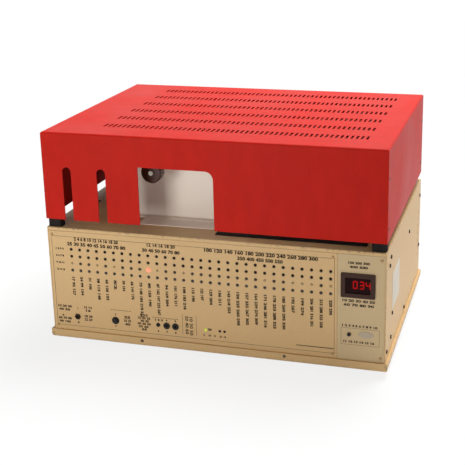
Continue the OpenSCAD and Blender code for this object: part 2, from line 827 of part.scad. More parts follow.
// Bulkhead fittings: nut and thread outside, nut and stub inside
tube_r = 1.6;
tube_fit = 0.1;
tube_in = 11;         // how far a tube goes into the manifold
hex_r = 7;            // radius of a fitting's nut across its corners
thread_len = 11;      // threaded length outside the outer nut
outer_nut = fitting_reach - thread_len;
inner_nut = 4;
fitting_in = 16;      // length of a fitting inside the rear panel
fitting_bore = 8;     // depth of a fitting's bores
module gas_fittings() color("#c8a652") {
  for (x = fitting_x) difference() {
    union() {
      rod_y(x, rear_part_z, fitting_r, y_rear - fitting_in, fitting_in + fitting_reach);
      along_y(y_rear, outer_nut) translate([x, rear_part_z]) circle(r = hex_r, $fn = 6);
      along_y(y_rear - sheet - inner_nut, inner_nut)
        translate([x, rear_part_z]) circle(r = hex_r, $fn = 6);
    }
    rod_y(x, rear_part_z, tube_r + tube_fit, y_rear + fitting_reach - fitting_bore - 1,
          fitting_bore + 2);
    rod_y(x, rear_part_z, tube_r + tube_fit, y_rear - fitting_in - 1, fitting_bore + 1);
  }
}
module gas_tubes() color("#d9dcdf") {
  tube_y0 = manifold_y1 - tube_in;
  tube_y1 = y_rear - fitting_in + fitting_bore - 1;
  for (x = fitting_x) rod_y(x, rear_part_z, tube_r, tube_y0, tube_y1 - tube_y0);
}

inlet_deep = 22;
inlet_flange = [25, 15];    // half width and half height of the inlet's flange
inlet_flange_t = 2.5;
socket_w = 24;
socket_h = 16;
socket_deep = 16;
blade_pitch = 7;
blade = [2, 15, 4];
module power_inlet() color(rubber) difference() {
  union() {
    along_y(y_rear, inlet_flange_t) translate([inlet_x, rear_part_z])
      round_rect(-inlet_flange[0], -inlet_flange[1], inlet_flange[0], inlet_flange[1], 3);
    span([inlet_x - inlet_w / 2, y_rear - inlet_deep, rear_part_z - inlet_h / 2],
         [inlet_x + inlet_w / 2, y_rear + eps, rear_part_z + inlet_h / 2]);
  }
  difference() {
    span([inlet_x - socket_w / 2, y_rear - socket_deep, rear_part_z - socket_h / 2],
         [inlet_x + socket_w / 2, y_rear + inlet_flange_t + 1, rear_part_z + socket_h / 2]);
    for (i = [-1:1])
      translate([inlet_x + blade_pitch * i - blade[0] / 2, y_rear - socket_deep - 1,
                 rear_part_z - blade[2] / 2 - (i == 0 ? blade[0] : 0)]) cube(blade);
  }
}

rocker_pivot_y = y_rear - 3;
rocker_tilt = 8;
rocker_pin_r = 1;
switch_rim = 2;
switch_deep = 20;
switch_well = 9;
module power_switch_body() color(rubber) difference() {
  union() {
    along_y(y_rear, switch_rim) translate([switch_x, rear_part_z])
      round_rect(-rocker_w / 2 - switch_rim, -rocker_h / 2 - switch_rim,
                 rocker_w / 2 + switch_rim, rocker_h / 2 + switch_rim, 1);
    span([switch_x - rocker_w / 2, y_rear - switch_deep, rear_part_z - rocker_h / 2],
         [switch_x + rocker_w / 2, y_rear + eps, rear_part_z + rocker_h / 2]);
  }
  span([switch_x - rocker_w / 2 + switch_rim, y_rear - switch_well,
        rear_part_z - rocker_h / 2 + switch_rim],
       [switch_x + rocker_w / 2 - switch_rim, y_rear + switch_rim + 1,
        rear_part_z + rocker_h / 2 - switch_rim]);
  rod_x(rocker_pivot_y, rear_part_z, rocker_pin_r, switch_x - rocker_w / 2 + 0.6, rocker_w - 1.2);
}
// Rocker: a shallow V across its face, with pivot pins at its ends
rocker_half = rocker_h / 2 - switch_rim - 0.8;
module power_rocker() color("#8a1a14")
  translate([switch_x, rocker_pivot_y, rear_part_z]) rotate([rocker_tilt, 0, 0]) {
    along_x(-rocker_w / 2 + switch_rim + 0.4, rocker_w - 2 * switch_rim - 0.8)
      polygon([[-2.5, -3], [-2.5, 3], [4.6, rocker_half], [5.2, rocker_half], [4, 0],
               [5.2, -rocker_half], [4.6, -rocker_half]]);
    rod_x(0, 0, rocker_pin_r - pin_fit, -rocker_w / 2 + 0.9, rocker_w - 1.8);
  }

// ---------- oven ----------

case_a = [oven_x0, oven_y0, oven_z0];
case_b = [oven_x1, oven_y1, oven_z1];
insul_a = [for (v = case_a) v + oven_sheet];
insul_b = [oven_x1 - oven_sheet, oven_y1 - oven_sheet, oven_z1 - oven_sheet];
liner_a = [for (v = insul_a) v + insul_t];
liner_b = [insul_b[0] - insul_t, insul_b[1] - insul_t, oven_z1];
liner_floor = liner_a[2] + oven_sheet;
port_fit = 0.6;
stem_r = 6;
injector_at = [-half_w + injector_x, z_deck + injector_z];
det_tube_r = 4;
det_y = y_front + 190;
det_z = z_deck + 18;

// Openings through the oven's walls for the shaft, the injector and the detector
module oven_ports() {
  translate([oven_cx, oven_cy, oven_z0 - 1]) cylinder(r = shaft_r + 2, h = insul_t + 6);
  rod_y(injector_at[0], injector_at[1], stem_r + port_fit, oven_y0 - 1, insul_t + 6);
  rod_x(det_y, det_z, det_tube_r + port_fit, oven_x0 - 1, insul_t + 6);
}

lid_pin_r = 1.5;
lid_knuckle_r = 3.2;
lid_axis_y = oven_y1 + 5;
lid_axis_z = oven_z1 + 3;
lid_hinge_at = [oven_cx - 100, oven_cx + 100];
lid_knuckle_len = 20;
module oven_case() color("#d9cdbb") {
  difference() {
    open_box(case_a, case_b, oven_sheet);
    oven_ports();
  }
  // flange that rests on the deck
  difference() {
    span([oven_x0 - 12, oven_y0 - 12, z_deck], [oven_x1 + 12, oven_y1 + 12, z_deck + oven_sheet]);
    span([oven_x0 + eps, oven_y0 + eps, z_deck - 1],
         [oven_x1 - eps, oven_y1 - eps, z_deck + oven_sheet + 1]);
  }
  // staked hinge halves and their pins
  for (x = lid_hinge_at) {
    for (s = [-1, 1]) {
      x0 = x + s * (lid_knuckle_len / 2 + seat + 5) - 5;
      span([x0, oven_y1 - eps, oven_z1 - 24], [x0 + 10, oven_y1 + 1.5, oven_z1 - 1]);
      span([x0, oven_y1 + seat, oven_z1 - 2], [x0 + 10, oven_y1 + 1.5, lid_axis_z - 2]);
      span([x0, oven_y1 + seat, lid_axis_z - lid_knuckle_r], [x0 + 10, lid_axis_y, lid_axis_z - 1]);
      rod_x(lid_axis_y, lid_axis_z, lid_knuckle_r, x0, 10);
    }
    rod_x(lid_axis_y, lid_axis_z, lid_pin_r, x - lid_knuckle_len / 2 - 6, lid_knuckle_len + 12);
  }
}

module oven_insulation() color("#e9e4d6") difference() {
  span(insul_a, insul_b);
  span(liner_a, [liner_b[0], liner_b[1], oven_z1 + 1]);
  oven_ports();
}

module oven_liner() color(steel) difference() {
  union() {
    span(liner_a, liner_b);
    span([insul_a[0], insul_a[1], oven_z1 - oven_sheet], [insul_b[0], insul_b[1], oven_z1]);
  }
  span([liner_a[0] + oven_sheet, liner_a[1] + oven_sheet, liner_floor],
       [liner_b[0] - oven_sheet, liner_b[1] - oven_sheet, oven_z1 + 1]);
  oven_ports();
}

wheel_z = liner_floor + 6;
wheel_h = 16;
guard_z = wheel_z + wheel_h + 8;
guard_half = 82;
guard_t = 1.2;
heater_turn_r = (fan_r + guard_half) / 2;
module heater_coil() color("#9a6a4a") translate([oven_cx, oven_cy, 0]) {
  for (z = [wheel_z + 3, wheel_z + 12]) torus(heater_turn_r, 2.5, z);
  for (a = [0:90:270]) rotate(a)
    translate([heater_turn_r, 0, liner_floor]) cylinder(r = 3.5, h = wheel_h + 6);
}

motor_r = 36;
motor_h = 28;
motor_flange = 2;
module fan_motor() color("#4b4e53") translate([oven_cx, oven_cy, 0]) difference() {
  union() {
    translate([0, 0, oven_z0 - motor_flange])
      linear_extrude(motor_flange) round_rect(-45, -45, 45, 45, 6);
    translate([0, 0, oven_z0 - motor_flange - motor_h]) cylinder(r = motor_r, h = motor_h + eps);
    for (a = [0:30:330]) rotate(a)
      translate([motor_r - 1, -1, oven_z0 - motor_flange - motor_h + 4]) cube([3.5, 2, motor_h - 6]);
  }
  translate([0, 0, oven_z0 - 24]) cylinder(r = shaft_r + pin_fit, h = 26);
}

module fan_shaft() color(steel) translate([oven_cx, oven_cy, oven_z0 - 23.8])
  cylinder(r = shaft_r, h = wheel_z + wheel_h + 3 - oven_z0 + 23.8);

module fan_wheel() color("#c3c6ca") translate([oven_cx, oven_cy, wheel_z]) {
  ring(shaft_r + pin_fit, shaft_r + 7, 0, wheel_h);
  ring(shaft_r + 6.5, fan_r, 0, 1.2);
  for (a = [0:360 / blade_count:359]) rotate(a)
    translate([fan_r * 0.38, 0, 1]) rotate([0, 0, 24]) cube([fan_r * 0.55, 1.2, wheel_h - 2]);
}

module fan_guard() color(steel) translate([oven_cx, oven_cy, 0]) difference() {
  union() {
    span([-guard_half, -guard_half, guard_z], [guard_half, guard_half, guard_z + guard_t]);
    for (s = [-1, 1])
      span([s * guard_half - (s > 0 ? guard_t : 0), -guard_half, liner_floor],
           [s * guard_half + (s > 0 ? 0 : guard_t), guard_half, guard_z + eps]);
  }
  for (r = [18:9:45]) for (a = [0:30:330]) rotate(a + r)
    translate([r, 0, guard_z - 1]) cylinder(r = 2.5, h = guard_t + 2);
}

cage_wire_r = 1.5;
cage_r = column_r + column_tube_r + seat + cage_wire_r;
cage_z = guard_z + guard_t;
turn_pitch = 1.9 * column_tube_r;
cage_h = column_turns * turn_pitch + 46;
module column_cage() color(steel) translate([oven_cx, oven_cy, 0]) {
  ring(column_r - 6, cage_r + 2, cage_z, 1.5);
  for (a = [45:90:315]) rotate(a) translate([cage_r, 0, cage_z + 1])
    cylinder(r = cage_wire_r, h = cage_h);
  ring(cage_r - 3, cage_r + 3, cage_z + cage_h, 2);
}

// The turns lie against each other, so they make one ribbed band
module column_coil() color("#c9b489") translate([oven_cx, oven_cy, cage_z + 1.5 + seat])
  rotate_extrude() for (i = [0:column_turns - 1])
    translate([column_r, column_tube_r + i * turn_pitch]) circle(r = column_tube_r);

lid_side = 0.4;
lid_skirt = 8;
lid_gap = 0.3;
module oven_lid() color("#d9cdbb") {
  difference() {
    span([oven_x0 - lid_side - oven_sheet, oven_y0 - lid_side - oven_sheet, oven_z1 - lid_skirt],
         [oven_x1 + lid_side + oven_sheet, oven_y1, oven_z1 + lid_h]);
    // hollow of the pan
    span([oven_x0 - lid_side, oven_y0 - lid_side, oven_z1 - lid_skirt - 1],
         [oven_x1 + lid_side, oven_y1 - oven_sheet, oven_z1 + lid_h - oven_sheet]);
    // the rear wall stops above the case
    span([oven_x0 - 5, oven_y1 - 2 * oven_sheet, oven_z1 - lid_skirt - 1],
         [oven_x1 + 5, oven_y1 + 14, oven_z1 + lid_gap]);
  }
  for (x = lid_hinge_at) difference() {
    union() {
      span([x - lid_knuckle_len / 2, oven_y1 - eps, lid_axis_z + 1],
           [x + lid_knuckle_len / 2, lid_axis_y, lid_axis_z + lid_knuckle_r]);
      rod_x(lid_axis_y, lid_axis_z, lid_knuckle_r, x - lid_knuckle_len / 2, lid_knuckle_len);
    }
    rod_x(lid_axis_y, lid_axis_z, lid_pin_r + pin_fit, x - lid_knuckle_len / 2 - 1, lid_knuckle_len + 2);
  }
}

plug_fit = 3;
module lid_insulation() color("#e9e4d6") {
  span([oven_x0, oven_y0, oven_z1 + lid_gap],
       [oven_x1, oven_y1 - oven_sheet - eps, oven_z1 + lid_h - oven_sheet]);
  span([liner_a[0] + oven_sheet + plug_fit, liner_a[1] + oven_sheet + plug_fit, oven_z1 - 6],
       [liner_b[0] - oven_sheet - plug_fit, liner_b[1] - oven_sheet - plug_fit, oven_z1 + 1]);
}

knob_r = 13;
knob_h = 11;
module lid_knob() color(rubber)
  translate([oven_cx, oven_y0 + 24, oven_z1 + lid_h]) rotate_extrude()
    polygon([[0, 0], [knob_r * 0.5, 0], [knob_r * 0.45, 4], [knob_r, 6], [knob_r, knob_h - 1.5],
             [knob_r - 1.5, knob_h], [0, knob_h]]);

// ---------- injector and detector ----------

nut_len = 14;
nut_y = y_front + nut_front;
nut_hole_r = 3.4;
body_r = 7.5;
injector_flange_r = 18;
injector_flange_t = 3;
injector_fin_r = 11;
injector_fin_t = 1.2;
injector_fin_pitch = 4;
module injector_body() color(steel) {
  rod_y(injector_at[0], injector_at[1], body_r, nut_y + nut_len, oven_y0 - nut_y - nut_len);
  rod_y(injector_at[0], injector_at[1], stem_r, oven_y0 - 1, insul_t + 14);
  rod_y(injector_at[0], injector_at[1], injector_flange_r, oven_y0 - injector_flange_t,
        injector_flange_t);
  rod_y(injector_at[0], injector_at[1], nut_hole_r - 0.1, nut_y - 1.2, nut_len + 4);
  for (y = [nut_y + nut_len + 6:injector_fin_pitch:oven_y0 - 12])
    rod_y(injector_at[0], injector_at[1], injector_fin_r, y, injector_fin_t);
}

flute_count = 18;
module septum_nut() color(rubber) translate([injector_at[0], nut_y, injector_at[1]])
  rotate([-90, 0, 0]) difference() {
    union() {
      cylinder(r1 = nut_r - 1.5, r2 = nut_r, h = 1.5);
      translate([0, 0, 1.5 - eps]) cylinder(r = nut_r, h = nut_len - 1.5 + eps);
    }
    translate([0, 0, -1]) cylinder(r = nut_hole_r, h = nut_len + 2);
    for (a = [0:360 / flute_count:359]) rotate(a)
      translate([nut_r + 0.6, 0, 2.5]) cylinder(r = 1.4, h = nut_len, $fn = 16);
    translate([0, 0, -1]) difference() {
      cylinder(r = 9, h = 1.8);
      translate([0, 0, -1]) cylinder(r = 5.5, h = 4);
    }
  }

det_x = (-half_w + oven_x0) / 2;
det_half = 17;      // half width of the detector's heated block
det_block_h = 32;
det_jacket_r = 12;
det_jacket_h = 34;
det_cap_r = 15;
det_cap_h = 16;
det_vent_r = 4;
det_vent_h = 10;
module detector_body() color(steel) {
  span([det_x - det_half, det_y - det_half, z_deck],
       [det_x + det_half, det_y + det_half, z_deck + det_block_h]);
  translate([det_x, det_y, z_deck + det_block_h - eps]) {
    cylinder(r = det_jacket_r, h = det_jacket_h);
    translate([0, 0, det_jacket_h - eps]) cylinder(r = det_cap_r, h = det_cap_h);
    translate([0, 0, det_jacket_h + det_cap_h - 2 * eps]) cylinder(r = det_vent_r, h = det_vent_h);
  }
  rod_x(det_y, det_z, det_tube_r, det_x + det_half - 1, oven_x0 - det_x - det_half + 1 + insul_t + 4);
}

meter_box_w = 58;
meter_box_d = 80;
meter_box_h = 34;
plug_r = 4.5;
plug_len = 12;
meter_box_x = det_x - meter_box_w / 2 - 3;
meter_box_y = det_y + det_half + 5 + plug_len;
module electrometer_box() color("#b5b8bc") {
  round_box([meter_box_x, meter_box_y, z_deck],
            [meter_box_x + meter_box_w, meter_box_y + meter_box_d, z_deck + meter_box_h], 2);
  rod_y(det_x, z_deck + 20, plug_r, meter_box_y - plug_len, plug_len + eps);
}

// ---------- cover and its hinges ----------

// Outline of the cover across one direction, with bent top corners
module cover_profile(u0, u1, inset) {
  r = max(cover_bend - inset, 0.5);
  difference() {
    round_rect(u0 + inset, z_cover - 4 * cover_bend, u1 - inset, z_top - inset, r);
    translate([u0 - 1, z_cover - 5 * cover_bend - 1])
      square([u1 - u0 + 2, 5 * cover_bend + 1 - (inset > 0 ? 1 : 0)]);
  }
}

module cover_solid(inset) {
  intersection() {
    along_y(y_front + inset, body_d - 2 * inset) cover_profile(-half_w, half_w, inset);
    along_x(-half_w + inset, body_w - 2 * inset) cover_profile(y_front, y_rear, inset);
  }
}

// Cut-outs in the front, all open at the lower edge
module front_cuts() {
  for (d = slot_at) along_y(y_front - 1, sheet + 2) {
    translate([-half_w + d - slot_w / 2, z_cover - 2]) square([slot_w, slot_h + 2 - slot_w / 2]);
    translate([-half_w + d, z_cover + slot_h - slot_w / 2]) circle(d = slot_w);
  }
  along_y(y_front - 1, sheet + 2) translate([-half_w + access_at, z_cover - 2]) {
    square([access_w, access_h + 2 - access_r]);
    square([access_w - access_r, access_h + 2]);
    translate([access_w - access_r, access_h + 2 - access_r]) circle(r = access_r);
  }
}

vent_x1 = half_w - vent_right;
module vents() {
  for (r = [0:vent_rows - 1]) for (c = [0:vent_count - 1])
    translate([vent_x1 - vent_pitch * c - vent_w / 2,
               y_front + vent_front + vent_row_pitch * r - vent_len / 2, z_top - 2 * sheet])
      cube([vent_w, vent_len, 3 * sheet]);
}

// Top, sides and rear, with the front edge's bend
module cover_shell() color(red) difference() {
  cover_solid(0);
  cover_solid(sheet);
  span([-half_w + sheet, y_front - 1, z_cover - 1],
       [half_w - sheet, y_front + 2 * sheet, z_top - cover_bend]);
  vents();
}

// Front wall, welded in between the sides and under the bend
module cover_front() color(red) difference() {
  span([-half_w + sheet, y_front, z_cover], [half_w - sheet, y_front + sheet, z_top - cover_bend]);
  front_cuts();
}

leaf_t = 1.6;
hinge_y = y_rear + knuckle_r;
hinge_z = z_deck + cover_gap / 2;
hinge_at = [-half_w + hinge_in, half_w - hinge_in];
knuckle_len = hinge_len / 3;
leaf_clear = knuckle_r + run_gap;

// The outer knuckles and the pin ride on the chassis
module hinge_leaves_lower() color(steel) for (x = hinge_at) {
  span([x - hinge_len / 2, y_rear, hinge_z - leaf_clear - leaf_h],
       [x + hinge_len / 2, y_rear + leaf_t, hinge_z - leaf_clear]);
  for (s = [-1, 1]) {
    x0 = x + s * knuckle_len - (knuckle_len - seat) / 2 + s * seat / 2;
    span([x0, y_rear, hinge_z - leaf_clear - eps], [x0 + knuckle_len - seat, y_rear + leaf_t, hinge_z]);
    rod_x(hinge_y, hinge_z, knuckle_r, x0, knuckle_len - seat);
  }
  rod_x(hinge_y, hinge_z, hinge_pin_r, x - knuckle_len / 2 - 5, knuckle_len + 10);
}

// The middle knuckle turns with the cover
module hinge_leaves_upper() color(steel) for (x = hinge_at) difference() {
  union() {
    span([x - hinge_len / 2, y_rear, hinge_z + leaf_clear],
         [x + hinge_len / 2, y_rear + leaf_t, hinge_z + leaf_clear + leaf_h]);
    span([x - knuckle_len / 2, y_rear, hinge_z],
         [x + knuckle_len / 2, y_rear + leaf_t, hinge_z + leaf_clear + eps]);
    rod_x(hinge_y, hinge_z, knuckle_r, x - knuckle_len / 2, knuckle_len);
  }
  rod_x(hinge_y, hinge_z, hinge_pin_r + pin_fit, x - hinge_len, 2 * hinge_len);
}

// ---------- assembly ----------

base_tray();
rubber_feet();
rubber_bumpers();
left_side_panel();
right_side_panel();
rear_panel();
deck_plate();
front_frame();
front_panel();
display_panel();
display_bezel();
display_window();
display_digits();
control_board();
gas_buttons_upper();
gas_buttons_lower();
detector_buttons_upper();
detector_buttons_lower();
heater_buttons_upper();
heater_buttons_lower();
status_leds();
lit_status_led();
adjust_trimpots();
toggle_body();
toggle_lever();
start_button();
select_button();
panel_sockets();
indicator_led();
case_screws();
main_board();
transformer();
gas_manifold();
solenoid_valves();
gas_fittings();
gas_tubes();
power_inlet();
power_switch_body();
power_rocker();
oven_case();
oven_insulation();
oven_liner();
heater_coil();
fan_motor();
fan_shaft();
fan_wheel();
fan_guard();
column_cage();
column_coil();
oven_lid();
lid_insulation();
lid_knob();
injector_body();
septum_nut();
detector_body();
electrometer_box();
cover_shell();
cover_front();
hinge_leaves_upper();
hinge_leaves_lower();
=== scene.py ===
"""Finishes, printed marks and small trim of a bench gas chromatograph.

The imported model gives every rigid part. This file paints it, adds the marks on its faces,
its lamps' lenses, rivets, screws and thin plates, and sets up a plain studio.
"""

import functools
import math

import bmesh
import bpy
from bpy.props import FloatProperty, FloatVectorProperty, IntProperty, PointerProperty
from mathutils import Matrix, Vector


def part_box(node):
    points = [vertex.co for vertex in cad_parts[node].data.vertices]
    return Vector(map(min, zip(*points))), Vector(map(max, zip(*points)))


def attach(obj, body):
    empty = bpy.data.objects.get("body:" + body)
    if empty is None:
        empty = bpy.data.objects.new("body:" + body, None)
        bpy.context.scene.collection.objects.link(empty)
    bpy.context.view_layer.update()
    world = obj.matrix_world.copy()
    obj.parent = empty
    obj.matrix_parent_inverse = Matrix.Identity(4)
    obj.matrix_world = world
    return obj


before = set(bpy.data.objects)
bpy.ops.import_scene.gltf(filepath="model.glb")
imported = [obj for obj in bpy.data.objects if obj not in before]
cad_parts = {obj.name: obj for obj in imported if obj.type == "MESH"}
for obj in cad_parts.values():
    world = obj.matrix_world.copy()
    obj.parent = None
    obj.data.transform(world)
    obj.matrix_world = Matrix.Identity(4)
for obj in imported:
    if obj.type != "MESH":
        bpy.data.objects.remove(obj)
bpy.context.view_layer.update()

bl_info = {
    "name": "Bench Gas Chromatograph",
    "version": (1, 0, 0),
    "blender": (4, 5, 0),
    "location": "View3D > Sidebar > Chromatograph",
    "description": "Paints and details a bench gas chromatograph on its packed frame",
    "category": "Object",
}

MM = 0.001
QUARTER_TURN = math.pi / 2


# ---------- places taken from the frame ----------

FACE_LOW, FACE_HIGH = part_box("front_panel")
DISPLAY_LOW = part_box("display_panel")[0]
COVER_LOW, COVER_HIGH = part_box("cover_shell")
CASE_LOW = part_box("left_side_panel")[0]
SIDE_LOW, SIDE_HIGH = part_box("right_side_panel")
REAR_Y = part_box("rear_panel")[1][1]
OVEN_LOW, OVEN_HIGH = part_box("oven_case")
LID_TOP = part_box("oven_lid")[1][2]
DECK_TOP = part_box("deck_plate")[1][2]

COLLAR_R = 2.6 * MM
GRID_COLUMNS = 30
GRID_ROWS = 4
BUTTON_BANKS = [f"{group}_buttons_{half}" for group in ("gas", "detector", "heater")
                for half in ("upper", "lower")]
BANK_LOW, BANK_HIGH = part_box("gas_buttons_upper")
BANK_COLUMNS = 8
COLUMN_PITCH = (BANK_HIGH[0] - BANK_LOW[0] - 2 * COLLAR_R) / (BANK_COLUMNS - 1)
FIRST_COLUMN = BANK_LOW[0] + COLLAR_R


def middle(node):
    """The centre of a node's box."""
    low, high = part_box(node)
    return [(a + b) / 2 for a, b in zip(low, high)]


FIRST_ROW = middle("gas_buttons_upper")[2]
ROW_PITCH = FIRST_ROW - middle("gas_buttons_lower")[2]


def column_x(column):
    """Where a column of the control grid stands, counted from 1."""
    return FIRST_COLUMN + COLUMN_PITCH * (column - 1)


def row_z(row):
    """The height of a row of the control grid, counted from 1 at the top."""
    return FIRST_ROW - ROW_PITCH * (row - 1)


# ---------- sizes and colours a user would change ----------


class PaintSettings(bpy.types.PropertyGroup):
    """Colours of the painted sheet metal."""

    cover: FloatVectorProperty(
        name="Cover", description="Paint of the top cover", subtype="COLOR",
        default=(0.54, 0.0160, 0.0083), min=0, max=1)
    case: FloatVectorProperty(
        name="Case", description="Paint of the chassis", subtype="COLOR",
        default=(0.645, 0.425, 0.198), min=0, max=1)
    display: FloatVectorProperty(
        name="Display panel", description="Paint of the panel round the display",
        subtype="COLOR", default=(0.585, 0.43, 0.235), min=0, max=1)
    oven: FloatVectorProperty(
        name="Oven", description="Enamel of the oven and its lid", subtype="COLOR",
        default=(0.92, 0.83, 0.71), min=0, max=1)
    texture_height: FloatProperty(
        name="Texture height", description="Depth of the paint's texture",
        default=0.05 * MM, min=0, max=0.3 * MM, unit="LENGTH", precision=5)


class PrintSettings(bpy.types.PropertyGroup):
    """The marks printed on the faces."""

    ink: FloatVectorProperty(
        name="Ink", description="Colour of the printed marks", subtype="COLOR",
        default=(0.025, 0.014, 0.007), min=0, max=1)
    scale_height: FloatProperty(
        name="Scale numbers", description="Height of the numbers under the columns",
        default=3.7 * MM, min=1 * MM, max=5 * MM, unit="LENGTH", precision=4)
    stroke: FloatProperty(
        name="Stroke", description="How far the strokes of those numbers are thickened",
        default=0.30 * MM, min=0, max=0.5 * MM, unit="LENGTH", precision=5)
    figure_step: IntProperty(
        name="Number step", description="Step between the numbers of neighbouring scales",
        default=7, min=1, max=99)
    line_width: FloatProperty(
        name="Line width", description="Width of a printed line",
        default=0.45 * MM, min=0.2 * MM, max=1 * MM, unit="LENGTH", precision=4)


class TrimSettings(bpy.types.PropertyGroup):
    """Small pieces fixed to the sheet metal."""

    rivet_radius: FloatProperty(
        name="Rivet radius", description="Radius of a rivet's head",
        default=2.4 * MM, min=1 * MM, max=4 * MM, unit="LENGTH", precision=4)
    rivet_height: FloatProperty(
        name="Rivet height", description="Height of a rivet's head",
        default=0.8 * MM, min=0.3 * MM, max=2 * MM, unit="LENGTH", precision=4)
    screw_radius: FloatProperty(
        name="Screw radius", description="Radius of a small screw's head",
        default=2.3 * MM, min=1 * MM, max=4 * MM, unit="LENGTH", precision=4)
    screw_height: FloatProperty(
        name="Screw height", description="Height of a small screw's head",
        default=0.9 * MM, min=0.3 * MM, max=2 * MM, unit="LENGTH", precision=4)
    lip_screw_reach: FloatProperty(
        name="Lip screws", description="Distance of the tray's lip screws from the middle",
        default=105 * MM, min=50 * MM, max=200 * MM, unit="LENGTH", precision=4)


class StageSettings(bpy.types.PropertyGroup):
    """Floor, lamps and camera."""

    floor_size: FloatProperty(
        name="Floor size", description="Side of the square floor",
        default=14, min=2, max=60, unit="LENGTH")
    key_power: FloatProperty(
        name="Key lamp", description="Power of the lamp overhead",
        default=80, min=0, max=1000, unit="POWER")
    fill_power: FloatProperty(
        name="Side lamp", description="Power of the lamp at the right",
        default=6, min=0, max=1000, unit="POWER")
    front_power: FloatProperty(
        name="Front lamp", description="Power of the lamp at the front left",
        default=11.2, min=0, max=1000, unit="POWER")
    ambient: FloatProperty(
        name="Ambient", description="Strength of the room's even light",
        default=0.12, min=0, max=3, subtype="FACTOR")


# ---------- building materials ----------


class NodeTree:
    """The nodes of a material or a world, made and linked in short form."""

    def __init__(self, owner):
        owner.use_nodes = True
        self.tree = owner.node_tree
        self.tree.nodes.clear()

    def new(self, kind, **fields):
        node = self.tree.nodes.new(kind)
        for field, value in fields.items():
            setattr(node, field, value)
        return node

    def join(self, source, target):
        self.tree.links.new(source, target)

    def calculate(self, operation, first, second=None, clamp=False):
        """Arithmetic on numbers or sockets."""
        node = self.new("ShaderNodeMath", operation=operation, use_clamp=clamp)
        for socket, value in zip(node.inputs, (first, second)):
            if value is None:
                continue
            if isinstance(value, (int, float)):
                socket.default_value = value
            else:
                self.join(value, socket)
        return node.outputs[0]

    def span(self, field, low, high, to_low=0.0, to_high=1.0):
        """A field mapped from low..high to another range, and held there."""
        node = self.new("ShaderNodeMapRange")
        self.join(field, node.inputs["Value"])
        for socket, value in (("From Min", low), ("From Max", high),
                              ("To Min", to_low), ("To Max", to_high)):
            node.inputs[socket].default_value = value
        return node.outputs["Result"]

    def seen_directly(self):
        """1 for camera, glossy and transmission rays, and 0 for the rest."""
        rays = self.new("ShaderNodeLightPath").outputs
        seen = self.calculate("ADD", rays["Is Camera Ray"], rays["Is Glossy Ray"], True)
        return self.calculate("ADD", seen, rays["Is Transmission Ray"], True)

    def end_with_blend(self, share, first, second, output):
        """Ends the tree with a blend of two shader nodes."""
        blend = self.new("ShaderNodeMixShader")
        self.join(share, blend.inputs["Fac"])
        self.join(first.outputs[0], blend.inputs[1])
        self.join(second.outputs[0], blend.inputs[2])
        self.join(blend.outputs["Shader"], self.new(output).inputs["Surface"])


